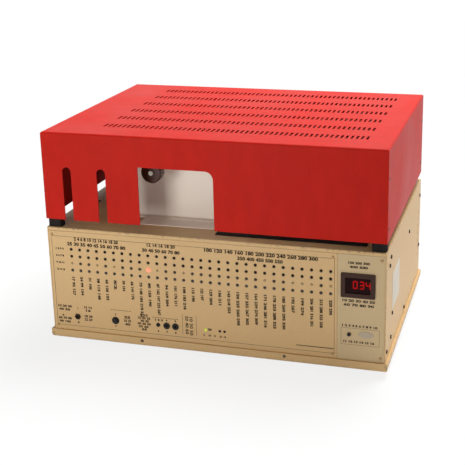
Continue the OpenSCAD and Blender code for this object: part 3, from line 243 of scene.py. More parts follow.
class Finish(NodeTree):
    """A material that is built up step by step on Object coordinates."""

    def __init__(self, name, colour, roughness=0.5, metallic=0.0, **uniform):
        self.material = bpy.data.materials.new(name)
        super().__init__(self.material)
        self.shader = self.new("ShaderNodeBsdfPrincipled")
        output = self.new("ShaderNodeOutputMaterial")
        self.join(self.shader.outputs["BSDF"], output.inputs["Surface"])
        self.place = self.new("ShaderNodeTexCoord").outputs["Object"]
        self.set("Base Color", (*colour, 1))
        self.set("Roughness", roughness)
        self.set("Metallic", metallic)
        for socket, value in uniform.items():
            self.set(socket.replace("_", " "), value)
        self.height = None

    def set(self, socket, value):
        self.shader.inputs[socket].default_value = value

    def along(self, axis):
        """One of the Object coordinates."""
        split = self.new("ShaderNodeSeparateXYZ")
        self.join(self.place, split.inputs["Vector"])
        return split.outputs[axis]

    def stretched(self, scale):
        """Object coordinates pulled out along the axes with a small scale."""
        if not scale:
            return self.place
        mapping = self.new("ShaderNodeMapping")
        mapping.inputs["Scale"].default_value = scale
        self.join(self.place, mapping.inputs["Vector"])
        return mapping.outputs["Vector"]

    def noise(self, scale, detail=2.0, rough=0.5, stretch=None):
        """A noise field; scale is in waves per metre."""
        node = self.new("ShaderNodeTexNoise")
        node.inputs["Scale"].default_value = scale
        node.inputs["Detail"].default_value = detail
        node.inputs["Roughness"].default_value = rough
        self.join(self.stretched(stretch), node.inputs["Vector"])
        return node.outputs["Fac"]

    def cell_edges(self, scale, stretch):
        """Distance to the edges of a scatter of cells."""
        node = self.new("ShaderNodeTexVoronoi", feature="DISTANCE_TO_EDGE")
        node.inputs["Scale"].default_value = scale
        self.join(self.stretched(stretch), node.inputs["Vector"])
        return node.outputs["Distance"]

    def bands(self, scale, direction, distortion):
        """Parallel bands across an axis."""
        node = self.new("ShaderNodeTexWave", bands_direction=direction)
        node.inputs["Scale"].default_value = scale
        node.inputs["Distortion"].default_value = distortion
        self.join(self.place, node.inputs["Vector"])
        return node.outputs["Fac"]

    def mix(self, field, first, second):
        """A colour between two, each a colour or a socket."""
        node = self.new("ShaderNodeMix", data_type="RGBA")
        self.join(field, node.inputs["Factor"])
        for socket, value in ((node.inputs["A"], first), (node.inputs["B"], second)):
            if isinstance(value, (tuple, list)):
                socket.default_value = (*value, 1)
            else:
                self.join(value, socket)
        return node.outputs["Result"]

    def colour(self, socket, target="Base Color"):
        self.join(socket, self.shader.inputs[target])
        return self

    def roughness(self, field, low, high):
        self.join(self.span(field, 0.3, 0.7, low, high), self.shader.inputs["Roughness"])
        return self

    def relief(self, field, depth):
        """Adds a height field to the surface, in metres."""
        node = self.new("ShaderNodeBump")
        node.inputs["Strength"].default_value = 1
        node.inputs["Distance"].default_value = depth
        self.join(field, node.inputs["Height"])
        if self.height:
            self.join(self.height, node.inputs["Normal"])
        self.height = node.outputs["Normal"]
        return self

    def near_edges(self, low, high, width):
        """A mask that is 1 along the edges of a box from low to high."""
        faces = []
        for axis in range(3):
            centre, reach = (low[axis] + high[axis]) / 2, (high[axis] - low[axis]) / 2
            away = self.calculate("SUBTRACT", self.along(axis), centre)
            faces.append(self.span(self.calculate("ABSOLUTE", away), reach - width, reach))
        pairs = [self.calculate("MULTIPLY", faces[i], faces[(i + 1) % 3]) for i in range(3)]
        return self.calculate("ADD", self.calculate("ADD", pairs[0], pairs[1]), pairs[2], True)

    def done(self):
        if self.height:
            self.join(self.height, self.shader.inputs["Normal"])
        return self.material


def shade(colour, factor):
    """The same colour, darker or lighter."""
    return tuple(min(1.0, part * factor) for part in colour)


def dress(material, *nodes):
    """Gives a material to CAD nodes."""
    for name in nodes:
        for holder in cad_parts[name].material_slots:
            holder.material = material


def shared(maker):
    """Makes a material at its first use, and finds it by the maker's name after that."""
    @functools.wraps(maker)
    def find(*settings):
        return bpy.data.materials.get(maker.__name__) or maker(*settings)
    return find


# ---------- paints ----------


def cover_paint(settings):
    """Powder coat with a fine texture, chipped a little along the edges."""
    base = settings.cover
    finish = Finish("cover_powder_coat", base, 0.45, Specular_IOR_Level=0.06)
    broad, fine = finish.noise(7, 3), finish.noise(900, 2)
    blotches = finish.span(finish.noise(55, 4, 0.6, (1, 1, 0.35)), 0.35, 0.75, 0, 0.55)
    paint = finish.mix(broad, shade(base, 0.92), shade(base, 1.08))
    paint = finish.mix(blotches, paint, shade(base, 0.74))
    paint = finish.mix(finish.span(fine, 0.35, 0.65, 0, 0.35), paint, shade(base, 0.80))
    edge = finish.near_edges(COVER_LOW, COVER_HIGH, 2.2 * MM)
    chips = finish.span(finish.noise(160, 4), 0.56, 0.62)
    finish.colour(finish.mix(finish.calculate("MULTIPLY", edge, chips), paint,
                             (0.30, 0.025, 0.018)))
    finish.roughness(broad, 0.38, 0.50)
    return finish.relief(fine, settings.texture_height).done()


def case_paint(name, base, speck, texture_height):
    """Sand-coloured hammered enamel with darker specks, worn along the case's edges."""
    finish = Finish(name, base, 0.46, Specular_IOR_Level=0.3)
    broad, fine = finish.noise(5, 4), finish.noise(620, 3)
    paint = finish.mix(broad, shade(base, 0.95), shade(base, 1.05))
    specks = finish.span(finish.noise(1300, 1), 0.55, 0.72, 0, 0.5 * speck)
    paint = finish.mix(specks, paint, shade(base, 0.62))
    edge = finish.near_edges(CASE_LOW, SIDE_HIGH, 1.5 * MM)
    wear = finish.span(finish.noise(210, 4), 0.55, 0.62, 0, 0.7)
    finish.colour(finish.mix(finish.calculate("MULTIPLY", edge, wear), paint,
                             shade(base, 0.45)))
    finish.roughness(fine, 0.40, 0.55)
    return finish.relief(fine, texture_height).done()


@shared
def oven_enamel(settings):
    """Cream enamel, smoother than the case's and slightly heat-stained at the top."""
    base = settings.oven
    finish = Finish("oven_enamel", base, 0.36)
    broad = finish.noise(9, 3)
    paint = finish.mix(broad, shade(base, 0.95), shade(base, 1.04))
    heat = finish.span(finish.along("Z"), OVEN_HIGH[2] - 30 * MM, LID_TOP, 0, 0.35)
    stain = finish.calculate("MULTIPLY", heat, finish.noise(26, 3))
    finish.colour(finish.mix(stain, paint, (0.46, 0.31, 0.17)))
    finish.roughness(broad, 0.30, 0.42)
    return finish.relief(finish.noise(450, 2), 0.02 * MM).done()


@shared
def printing_ink(settings):
    finish = Finish("printing_ink", settings.ink, 0.6, Specular_IOR_Level=0.1)
    thin = finish.noise(1600, 3)
    finish.colour(finish.mix(thin, shade(settings.ink, 0.7), shade(settings.ink, 1.7)))
    return finish.relief(thin, 0.01 * MM).done()


# ---------- plastics, rubber, glass ----------


@shared
def black_rubber():
    finish = Finish("black_rubber", (0.012, 0.010, 0.009), 0.75, Specular_IOR_Level=0.12)
    dust = finish.span(finish.noise(60, 5), 0.5, 0.75, 0, 0.4)
    finish.colour(finish.mix(dust, (0.010, 0.008, 0.007), (0.040, 0.032, 0.025)))
    return finish.relief(finish.noise(1500, 2), 0.03 * MM).done()


def moulded_plastic(name, colour, gloss, shine):
    """Plastic with a moulded grain; shine is its specular level."""
    finish = Finish(name, colour, gloss, Specular_IOR_Level=shine)
    mottle = finish.noise(1400, 2)
    finish.colour(finish.mix(mottle, shade(colour, 0.85), shade(colour, 1.15)))
    finish.roughness(finish.noise(40, 3), gloss - 0.06, gloss + 0.08)
    return finish.relief(mottle, 0.02 * MM).done()


def meter_window():
    """Dark red filter over the display."""
    finish = Finish("meter_filter", (0.09, 0.003, 0.004), 0.08, IOR=1.18,
                    Transmission_Weight=0.96)
    haze = finish.noise(220, 3)
    finish.colour(finish.mix(haze, (0.08, 0.002, 0.003), (0.11, 0.004, 0.004)))
    return finish.roughness(haze, 0.05, 0.12).done()


def lit_segments():
    """Glowing bars in front of a dark carrier."""
    finish = Finish("lit_segments", (0.03, 0.002, 0.002), 0.5, Emission_Strength=5.5)
    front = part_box("display_digits")[0][1]
    bars = finish.span(finish.along("Y"), front + 1.0 * MM, front + 0.9 * MM)
    flicker = finish.span(finish.noise(900, 1), 0.3, 0.7, 0.85, 1.0)
    glow = finish.mix(finish.calculate("MULTIPLY", bars, flicker), (0.012, 0.0, 0.0),
                      (1.0, 0.04, 0.045))
    return finish.colour(glow, "Emission Color").done()


def lamp_lens(name, colour, glow=0.0):
    """A small tinted lens; glow is its light."""
    finish = Finish(name, colour, 0.18, IOR=1.5, Emission_Strength=glow)
    depth = finish.noise(700, 2)
    finish.colour(finish.mix(depth, shade(colour, 0.8), shade(colour, 1.2)))
    if glow:
        lit = finish.mix(depth, shade(colour, 0.9), shade(colour, 1.1))
        finish.colour(lit, "Emission Color")
    return finish.roughness(depth, 0.12, 0.24).done()


# ---------- metals ----------


def metal(name, colour, gloss, stretch=(1, 1, 1), grain=900):
    """Brushed or cast metal; stretch pulls the brush lines out along an axis."""
    finish = Finish(name, colour, gloss, 1.0)
    brush = finish.noise(grain, 3, 0.6, stretch)
    cloud = finish.span(finish.noise(30, 4), 0.5, 0.8, 0, 0.25)
    tone = finish.mix(brush, shade(colour, 0.88), shade(colour, 1.08))
    finish.colour(finish.mix(cloud, tone, shade(colour, 0.55)))
    finish.roughness(brush, gloss - 0.08, gloss + 0.10)
    return finish.relief(brush, 0.008 * MM).done()


@shared
def bare_plate():
    return metal("bare_plate", (0.60, 0.54, 0.44), 0.45, (1, 1, 0.05))


def worn_black(finish, black, bright):
    """Black that is rubbed bright in small spots."""
    worn = finish.span(finish.noise(500, 4), 0.58, 0.68, 0, 0.6)
    finish.relief(finish.noise(1200, 2), 0.02 * MM)
    return finish.mix(worn, black, bright)


@shared
def black_oxide():
    finish = Finish("black_oxide", (0.045, 0.030, 0.022), 0.42, 0.8)
    return finish.colour(worn_black(finish, (0.040, 0.027, 0.020), (0.24, 0.19, 0.15))).done()


def case_screw_finish(settings):
    """Black screws, with the ones on the face painted over in the case's colour."""
    finish = Finish("case_screw_finish", (0.030, 0.018, 0.012), 0.46, Specular_IOR_Level=0.18)
    black = worn_black(finish, (0.022, 0.013, 0.008), (0.12, 0.08, 0.05))
    on_face = finish.calculate("LESS_THAN", finish.along("Y"), FACE_LOW[1] + 0.5 * MM)
    above_lip = finish.calculate("GREATER_THAN", finish.along("Z"), FACE_LOW[2] + 10 * MM)
    painted = finish.calculate("MULTIPLY", on_face, above_lip)
    return finish.colour(finish.mix(painted, black, shade(settings.case, 0.8))).done()


# ---------- oven and boards ----------


def mineral_wool():
    finish = Finish("mineral_wool", (0.74, 0.70, 0.60), 0.95)
    fibres = finish.noise(260, 6, 0.7, (1, 1, 4))
    finish.colour(finish.mix(fibres, (0.58, 0.52, 0.40), (0.84, 0.80, 0.70)))
    return finish.relief(fibres, 0.6 * MM).done()


def ceramic_wrap(settings):
    """Cream fibre sleeve round the heated injector; its needle guide stays bare steel."""
    base = settings.oven
    finish = Finish("ceramic_wrap", base, 0.8, Specular_IOR_Level=0.2)
    weave = finish.bands(700, "Y", 1.5)
    wrap = finish.mix(weave, shade(base, 0.90), shade(base, 1.04))
    guide_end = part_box("septum_nut")[1][1] - 1 * MM
    bare = finish.calculate("LESS_THAN", finish.along("Y"), guide_end)
    finish.colour(finish.mix(bare, wrap, (0.55, 0.50, 0.42)))
    return finish.relief(weave, 0.15 * MM).done()


def heater_wire():
    finish = Finish("heater_wire", (0.30, 0.20, 0.15), 0.55, 0.7)
    scale = finish.noise(180, 5)
    finish.colour(finish.mix(scale, (0.16, 0.10, 0.08), (0.46, 0.32, 0.24)))
    return finish.relief(scale, 0.05 * MM).done()


def column_tube():
    """Amber coating of a wound capillary, with the turns as fine bands."""
    finish = Finish("column_tube", (0.46, 0.26, 0.09), 0.30)
    turns = finish.bands(180, "Z", 0.4)
    finish.colour(finish.mix(turns, (0.30, 0.15, 0.05), (0.58, 0.35, 0.14)))
    return finish.relief(turns, 0.2 * MM).done()


def board_laminate():
    """Green solder mask with pale copper tracks under it."""
    finish = Finish("board_laminate", (0.02, 0.12, 0.05), 0.35)
    tracks = finish.span(finish.cell_edges(240, (1, 1, 0.4)), 0.02, 0.05)
    finish.colour(finish.mix(tracks, (0.06, 0.26, 0.11), (0.014, 0.10, 0.045)))
    return finish.relief(tracks, 0.04 * MM).done()


# Name, colour, roughness, specular level and nodes
PLASTICS = (
    ("grid_plungers", (0.016, 0.008, 0.005), 0.5, 0.15, BUTTON_BANKS),
    ("black_plastic", (0.014, 0.010, 0.008), 0.42, 0.2,
     ("start_button", "select_button", "panel_sockets", "power_inlet", "power_switch_body")),
    ("bezel_plastic", (0.040, 0.014, 0.008), 0.42, 0.2, ("display_bezel",)),
    ("knob_plastic", (0.050, 0.014, 0.007), 0.28, 0.35, ("lid_knob", "septum_nut")),
    ("rocker_plastic", (0.26, 0.018, 0.014), 0.25, 0.5, ("power_rocker",)),
    ("trimpot_plastic", (0.020, 0.018, 0.026), 0.4, 0.5, ("adjust_trimpots",)),
    ("valve_coil", (0.022, 0.023, 0.026), 0.5, 0.5, ("solenoid_valves",)),
)

# Name, colour, light and node
LAMPS = (
    ("unlit_lens", (0.050, 0.026, 0.016), 0.0, "status_leds"),
    ("lit_lens", (1.0, 0.20, 0.09), 2.2, "lit_status_led"),
    ("green_lens", (0.50, 0.58, 0.06), 0.55, "indicator_led"),
)

# Name, colour, roughness, stretch of the brush lines, grain and nodes
METALS = (
    ("nickel", (0.66, 0.62, 0.56), 0.26, (1, 1, 1), 900,
     ("gas_tubes", "fan_shaft", "column_cage")),
    ("dark_nickel", (0.055, 0.036, 0.024), 0.42, (1, 1, 1), 900,
     ("toggle_body", "toggle_lever")),
    ("turned_steel", (0.58, 0.56, 0.53), 0.30, (1, 12, 1), 900, ("detector_body",)),
    ("zinc_steel", (0.56, 0.55, 0.50), 0.42, (1, 1, 1), 160,
     ("fan_motor", "fan_guard", "hinge_leaves_upper", "hinge_leaves_lower")),
    ("core_steel", (0.30, 0.29, 0.28), 0.5, (1, 30, 1), 900, ("transformer",)),
    ("aluminium", (0.72, 0.73, 0.75), 0.34, (1, 0.05, 1), 900,
     ("gas_manifold", "fan_wheel", "electrometer_box")),
    ("brass", (0.72, 0.50, 0.20), 0.28, (1, 1, 1), 900, ("gas_fittings",)),
    ("liner_steel", (0.62, 0.60, 0.57), 0.32, (1, 1, 0.03), 900, ("oven_liner",)),
)


# ---------- mesh helpers ----------


def make_piece(name, mesh_data, material, body, smooth=True):
    """Turns a bmesh into a named piece that rides on a body."""
    mesh = bpy.data.meshes.new(name)
    for face in mesh_data.faces:
        face.smooth = smooth
    mesh_data.to_mesh(mesh)
    mesh_data.free()
    mesh.materials.append(material)
    piece = bpy.data.objects.new(name, mesh)
    bpy.context.scene.collection.objects.link(piece)
    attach(piece, body)
    return piece


def add_block(mesh_data, low, high):
    """A box between two corners."""
    size = [b - a for a, b in zip(low, high)]
    centre = [(a + b) / 2 for a, b in zip(low, high)]
    place = Matrix.Translation(centre) @ Matrix.Diagonal((*size, 1))
    bmesh.ops.create_cube(mesh_data, size=1, matrix=place)


def bevel(mesh_data, edges, offset, segments):
    bmesh.ops.bevel(mesh_data, geom=edges, offset=offset, offset_type="OFFSET",
                    segments=segments, profile=0.5, affect="EDGES", material=-1)


def add_plate(mesh_data, low, high, thin_axis, corner):
    """A thin plate between two points, with its corners rounded."""
    add_block(mesh_data, low, high)
    half = (high[thin_axis] - low[thin_axis]) / 2
    across = [edge for edge in mesh_data.edges
              if abs(edge.verts[0].co[thin_axis] - edge.verts[1].co[thin_axis]) > half]
    bevel(mesh_data, across, corner, 4)


def add_turned(mesh_data, outline, segments, places):
    """Adds an outline of (radius, height) points, spun round Z, at each place."""
    part = bmesh.new()
    verts = [part.verts.new((radius, 0, height)) for radius, height in outline]
    edges = [part.edges.new(pair) for pair in zip(verts, verts[1:])]
    bmesh.ops.spin(part, geom=verts + edges, axis=(0, 0, 1), cent=(0, 0, 0), dvec=(0, 0, 0),
                   angle=2 * math.pi, steps=segments, use_merge=True)
    bmesh.ops.remove_doubles(part, verts=part.verts, dist=1e-7)
    bmesh.ops.recalc_face_normals(part, faces=part.faces)
    # edges round the base are sharp, and the others are smooth
    for edge in part.edges:
        edge.smooth = any(vert.co.z > 0 or vert.co.length < outline[1][0] / 2
                          for vert in edge.verts)
    mesh = bpy.data.meshes.new("part")
    part.to_mesh(mesh)
    part.free()
    for place in places:
        copy = mesh.copy()
        copy.transform(place)
        mesh_data.from_mesh(copy)
        bpy.data.meshes.remove(copy)
    bpy.data.meshes.remove(mesh)


def add_domes(mesh_data, places, radius, height, segments=14, rings=4):
    """Half ellipsoids, each with its base on a place's XY plane."""
    angles = [QUARTER_TURN * step / rings for step in range(rings + 1)]
    outline = [(radius * math.cos(angle), height * math.sin(angle)) for angle in angles]
    add_turned(mesh_data, [(0, 0), *outline], segments, places)


def facing_front(x, y, z, turn=0.0):
    """Places a flat thing on a face that looks towards -Y, turned about the view."""
    return (Matrix.Translation((x, y, z)) @ Matrix.Rotation(turn, 4, "Y")
            @ Matrix.Rotation(QUARTER_TURN, 4, "X"))


def facing_rear(x, y, z):
    """Places a flat thing on a face that looks towards +Y."""
    return (Matrix.Translation((x, y, z)) @ Matrix.Rotation(math.pi, 4, "Z")
            @ Matrix.Rotation(QUARTER_TURN, 4, "X"))


PRINT_LIFT = 0.03 * MM
PRINT_THICKNESS = 0.02 * MM
FIGURE_SHARE = 0.70    # a figure's height as a share of its text size
FIGURE_WIDTH = 0.74    # a figure's width as a share of its height


def stamp_text(mesh_data, text, height, place, align="CENTER", width=0.0, weight=0.0):
    """Adds plain figures as a thin mesh at a place, stretched along to a width."""
    curve = bpy.data.curves.new("figures", "FONT")
    curve.body = text
    curve.size = height / FIGURE_SHARE
    curve.align_x = align
    curve.align_y = "CENTER"
    curve.offset = weight
    curve.resolution_u = 2
    curve.extrude = PRINT_THICKNESS / 2
    holder = bpy.data.objects.new("figures", curve)
    bpy.context.scene.collection.objects.link(holder)
    bpy.context.view_layer.update()
    mesh = bpy.data.meshes.new_from_object(holder.evaluated_get(
        bpy.context.evaluated_depsgraph_get()))
    if width:
        along = [vert.co.x for vert in mesh.vertices]
        mesh.transform(Matrix.Diagonal((width / (max(along) - min(along)), 1, 1, 1)))
    mesh.transform(place)
    mesh_data.from_mesh(mesh)
    bpy.data.objects.remove(holder)
    bpy.data.curves.remove(curve)
    bpy.data.meshes.remove(mesh)


def stamp_upright(mesh_data, text, height, x, face_y, top, length, weight):
    """Figures on a front face that run down from a height."""
    place = facing_front(x, face_y - PRINT_LIFT, top, QUARTER_TURN)
    stamp_text(mesh_data, text, height, place, "LEFT", length, weight)


def stamp_dot(mesh_data, x, face_y, z, radius):
    """A printed dot on a front face."""
    place = facing_front(x, face_y - PRINT_LIFT - PRINT_THICKNESS / 2, z)
    bmesh.ops.create_cone(mesh_data, cap_ends=True, segments=16, radius1=radius,
                          radius2=radius, depth=PRINT_THICKNESS, matrix=place)


def stamp_rings(mesh_data, centres, face_y, inner, outer):
    """Printed rings of one size round (x, z) centres on a front face."""
    outline = [(inner, 0), (outer, 0), (outer, PRINT_THICKNESS), (inner, PRINT_THICKNESS),
               (inner, 0)]
    add_turned(mesh_data, outline, 20,
               [facing_front(x, face_y - PRINT_LIFT, z) for x, z in centres])


def stamp_line(mesh_data, face_y, start, end, width):
    """A printed line on a front face, from one (x, z) to another."""
    low = [min(a, b) - width / 2 for a, b in zip(start, end)]
    high = [max(a, b) + width / 2 for a, b in zip(start, end)]
    add_block(mesh_data, (low[0], face_y - PRINT_LIFT - PRINT_THICKNESS, low[1]),
              (high[0], face_y - PRINT_LIFT, high[1]))


def stamp_frame(mesh_data, face_y, low, high, width):
    """A printed rectangle on a front face."""
    for z in (low[1], high[1]):
        stamp_line(mesh_data, face_y, (low[0], z), (high[0], z), width)
    for x in (low[0], high[0]):
        stamp_line(mesh_data, face_y, (x, low[1] + width), (x, high[1] - width), width)


# ---------- operators: finishes ----------


class CHROMATOGRAPH_OT_paint_cover(bpy.types.Operator):
    """Powder coats the cover and its front wall"""

    bl_idname = "chromatograph.paint_cover"
    bl_label = "Paint Cover"

    def execute(self, context):
        dress(cover_paint(context.scene.chromatograph_paint), "cover_shell", "cover_front")
        return {"FINISHED"}


class CHROMATOGRAPH_OT_paint_case(bpy.types.Operator):
    """Enamels the chassis, its panels and its tray"""

    bl_idname = "chromatograph.paint_case"
    bl_label = "Paint Case"

    def execute(self, context):
        settings = context.scene.chromatograph_paint
        height = settings.texture_height
        dress(case_paint("case_enamel", settings.case, 1.0, height), "base_tray",
              "left_side_panel", "right_side_panel", "rear_panel", "deck_plate", "front_frame")
        dress(case_paint("panel_enamel", settings.case, 0.7, height), "front_panel")
        dress(case_paint("display_enamel", settings.display, 0.7, height), "display_panel")
        return {"FINISHED"}


class CHROMATOGRAPH_OT_finish_oven(bpy.types.Operator):
    """Finishes the oven, its lid, its heater, the injector and the wound column"""

    bl_idname = "chromatograph.finish_oven"
    bl_label = "Finish Oven"

    def execute(self, context):
        settings = context.scene.chromatograph_paint
        dress(oven_enamel(settings), "oven_case", "oven_lid")
        dress(mineral_wool(), "oven_insulation", "lid_insulation")
        dress(ceramic_wrap(settings), "injector_body")
        dress(heater_wire(), "heater_coil")
        dress(column_tube(), "column_coil")
        return {"FINISHED"}


class CHROMATOGRAPH_OT_finish_plastics(bpy.types.Operator):
    """Finishes the rubber, the moulded plastic and the lamps"""

    bl_idname = "chromatograph.finish_plastics"
    bl_label = "Finish Plastics"

    def execute(self, context):
        dress(black_rubber(), "rubber_feet", "rubber_bumpers")
        for name, colour, gloss, shine, nodes in PLASTICS:
            dress(moulded_plastic(name, colour, gloss, shine), *nodes)
        dress(meter_window(), "display_window")
        dress(lit_segments(), "display_digits")
        for name, colour, glow, node in LAMPS:
            dress(lamp_lens(name, colour, glow), node)
        return {"FINISHED"}


class CHROMATOGRAPH_OT_finish_metals(bpy.types.Operator):
    """Finishes the bare metal parts and the boards"""

    bl_idname = "chromatograph.finish_metals"
    bl_label = "Finish Metals"

    def execute(self, context):
        dress(case_screw_finish(context.scene.chromatograph_paint), "case_screws")
        for name, colour, gloss, stretch, grain, nodes in METALS:
            dress(metal(name, colour, gloss, stretch, grain), *nodes)
        dress(board_laminate(), "control_board", "main_board")
        return {"FINISHED"}


# ---------- operators: printed marks ----------

# Lengths of the printed scales under the columns, from the first column on
SCALE_LENGTHS_MM = (29, 29, 19, 33, 33, 15, 16, 28, 54, 36, 48, 33, 30, 34, 21, 18, 23, 22, 33,
                    50, 48, 46, 49, 49, 49, 23, 25, 41, 42, 22)
SCALE_DROP = 9.3 * MM

# The row of lamps; some have a pale lens, one is lit, and the others are dark
LAMP_ROW = 3
PALE_LENS_COLUMNS = (1, 4, 6, 11, 14, 23, 26, 27, 28, 30)
LIT_COLUMN = 10

# Rings printed round the holes
RING_INNER, RING_OUTER = 1.97 * MM, 2.35 * MM

# How far the strokes of the marks are thickened
HEADING_WEIGHT, MARK_WEIGHT, UPRIGHT_WEIGHT, PORT_WEIGHT = (
    0.34 * MM, 0.24 * MM, 0.16 * MM, 0.1 * MM)

# Each mark is its text, height, width, and the place of its middle to the right of and above
# a point, all in millimetres; width 0 is the text's own
HEADINGS = (    # over the groups of columns, by the column they are centred on
    (4, (("2 4 6 8 10 12 14 16 18 20", 4.8, 68, 0, 15.9),
         ("25 30 35 40 45 50 60 70 80", 4.8, 90, 0, 8.2))),
    (11.5, (("12 14 16 18 20", 4.6, 42, 0, 16.2), ("30 40 50 60 70 80", 4.6, 56, 0, 8))),
    (22.5, (("100 120 140 160 180 200 220 240 260 280 300", 4.8, 160, 0, 15.7),
            ("350 400 450 500 550", 4.8, 64, 0, 7.6))),
)
ROW_FIGURES = ("1 2 3 4", "5 6 7 8", "9 10 11", "12 14 16")
TOGGLE_MARKS = (
    ("1", 3.0, 0, 0.6, 12.6), ("0", 3.0, 0, 0.4, -9.4),
    ("10 20 30", 3.2, 22, -20, 14.6), ("40 50", 3.2, 18, -20.5, 9.4),
    ("60 70 80", 3.2, 21, -20.5, -4.4), ("90 100", 3.2, 18, -21, -9.6),
    ("12 14", 3.2, 12, 16.5, 15.4), ("16", 3.0, 8, 16.5, 10.4),
    ("18 20", 3.4, 12.5, 16.6, 1.6), ("22 24", 3.4, 12, 16.6, -3.6),
)
START_MARKS = (
    ("2", 2.6, 0, 0, 9.4), ("3", 2.6, 0, 0, -8.6),
    ("25", 3.6, 10, 18.4, 6.4), ("30 35", 3.6, 11, 18.4, 1), ("40", 3.6, 9, 18.4, -4.4),
)
BLOCK_MARKS = (
    ("5 10", 3.2, 12, 0, 12.4), ("15 20 25", 3.2, 19, 0, 8), ("30 35", 3.2, 13, 1, 3.6),
    ("40 45 50", 3.2, 21, 0, -0.8), ("55 60", 3.2, 15, -1, -5.2), ("65", 3.2, 8, 0, -9.4),
)
JACK_MARKS = (
    ("1 2 3", 2.8, 12, -12, 7.4), ("4", 2.8, 0, 0, 8.2), ("5", 2.8, 0, 13.2, 8.2),
    ("6", 2.8, 0, -13, -9.6), ("7", 2.8, 0, 0, -9.8), ("8", 2.8, 0, 13.2, -9.8),
)
LAMP_MARKS = (
    ("9", 2.6, 0, -2.6, -8.2), ("10", 2.6, 0, 5.6, -8.2), ("11", 2.6, 0, 13.2, -8.2),
    ("12", 2.6, 0, 21.6, -8.2), ("13", 2.6, 0, 27.8, -8.2), ("20", 2.8, 6, 6, 1),
)
DISPLAY_MARKS = (
    ("100 200 300", 3.2, 29, 0.4, 31.6), ("400 500", 3.2, 25, 0.6, 25.8),
    ("10 20 30 40 50", 3.6, 44, 0.4, -22.3), ("60 70 80 90", 3.4, 41, 1.2, -28.4),
)
SELECT_MARKS = (
    ("1 2 3 4 5 6 7 8 9 10", 3.0, 48, 13.8, 12.4), ("11 12 13 14 15 16", 3.0, 42, 12.8, -10.8),
)

JACKS_FROM_TOGGLE = 138 * MM
BLOCK_FROM_JACKS = -34.5 * MM
SHADE_FRAME_INSET = 4 * MM    # from the ends of the face to its printed frame, which is painted shade of the face's bend and gaps
DASH, DASH_STEP, DASH_WIDTH = 2 * MM, 4 * MM, 0.8 * MM
RULE_LENGTH, RULE_WIDTH = 51 * MM, 1.1 * MM


def stamp_marks(mesh_data, marks, centre_x, face_y, centre_z, weight=MARK_WEIGHT):
    """Stamps a list of marks round a point of a front face."""
    for text, height, width, right, up in marks:
        place = facing_front(centre_x + right * MM, face_y - PRINT_LIFT, centre_z + up * MM)
        stamp_text(mesh_data, text, height * MM, place, width=width * MM, weight=weight)


def finish_marks(name, mesh_data, context):
    make_piece(name, mesh_data, printing_ink(context.scene.chromatograph_print), "chassis",
               False)


def scale_figures(column, length, height, step):
    """Plain two and three figure numbers that fill a printed scale."""
    count = round(length / (height * FIGURE_WIDTH))
    text = f"{column * step + 10}"
    index = 0
    while len(text) + 3 < count:
        index += 1
        text += f" {(column * step + 35 * index) % 900 + 50}"
    return text


class CHROMATOGRAPH_OT_print_scales(bpy.types.Operator):
    """Prints a number scale under each column of the control grid"""

    bl_idname = "chromatograph.print_scales"
    bl_label = "Print Column Scales"

    def execute(self, context):
        settings = context.scene.chromatograph_print
        height = settings.scale_height
        marks = bmesh.new()
        top = row_z(GRID_ROWS) - SCALE_DROP
        for column, length in enumerate(SCALE_LENGTHS_MM, 1):
            text = scale_figures(column, length * MM, height, settings.figure_step)
            stamp_upright(marks, text, height, column_x(column), FACE_LOW[1], top, length * MM,
                          settings.stroke)
        finish_marks("column_scales", marks, context)
        return {"FINISHED"}


class CHROMATOGRAPH_OT_print_rings(bpy.types.Operator):
    """Prints a dark ring round each hole whose button or lamp is dark"""

    bl_idname = "chromatograph.print_rings"
    bl_label = "Print Button Rings"

    def execute(self, context):
        marks = bmesh.new()
        bare = (*PALE_LENS_COLUMNS, LIT_COLUMN)
        centres = [(column_x(column), row_z(row)) for row in range(1, GRID_ROWS + 1)
                   for column in range(1, GRID_COLUMNS + 1)
                   if row != LAMP_ROW or column not in bare]
        stamp_rings(marks, centres, FACE_LOW[1], RING_INNER, RING_OUTER)
        finish_marks("button_rings", marks, context)
        return {"FINISHED"}


class CHROMATOGRAPH_OT_print_groups(bpy.types.Operator):
    """Prints the numbers over the groups of columns and beside the rows, and a dark frame line
    that is painted shade of the face's bend and gaps
    """

    bl_idname = "chromatograph.print_groups"
    bl_label = "Print Groups"

    def execute(self, context):
        marks = bmesh.new()
        face_y = FACE_LOW[1]
        for column, texts in HEADINGS:
            stamp_marks(marks, texts, column_x(column), face_y, row_z(1), HEADING_WEIGHT)
        # the printed frame is a dark line of painted shade along the face's bend and its gaps
        lip_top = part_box("base_tray")[1][2]
        stamp_frame(marks, face_y, (FACE_LOW[0] + SHADE_FRAME_INSET, lip_top + 6.5 * MM),
                    (DISPLAY_LOW[0] - SHADE_FRAME_INSET, FACE_HIGH[2] - 7.5 * MM),
                    context.scene.chromatograph_print.line_width)
        for row, text in enumerate(ROW_FIGURES, 1):
            stamp_marks(marks, [(text, 2.6, 12.5, -18.4, 0)], column_x(1), face_y, row_z(row))
        finish_marks("group_figures", marks, context)
        return {"FINISHED"}


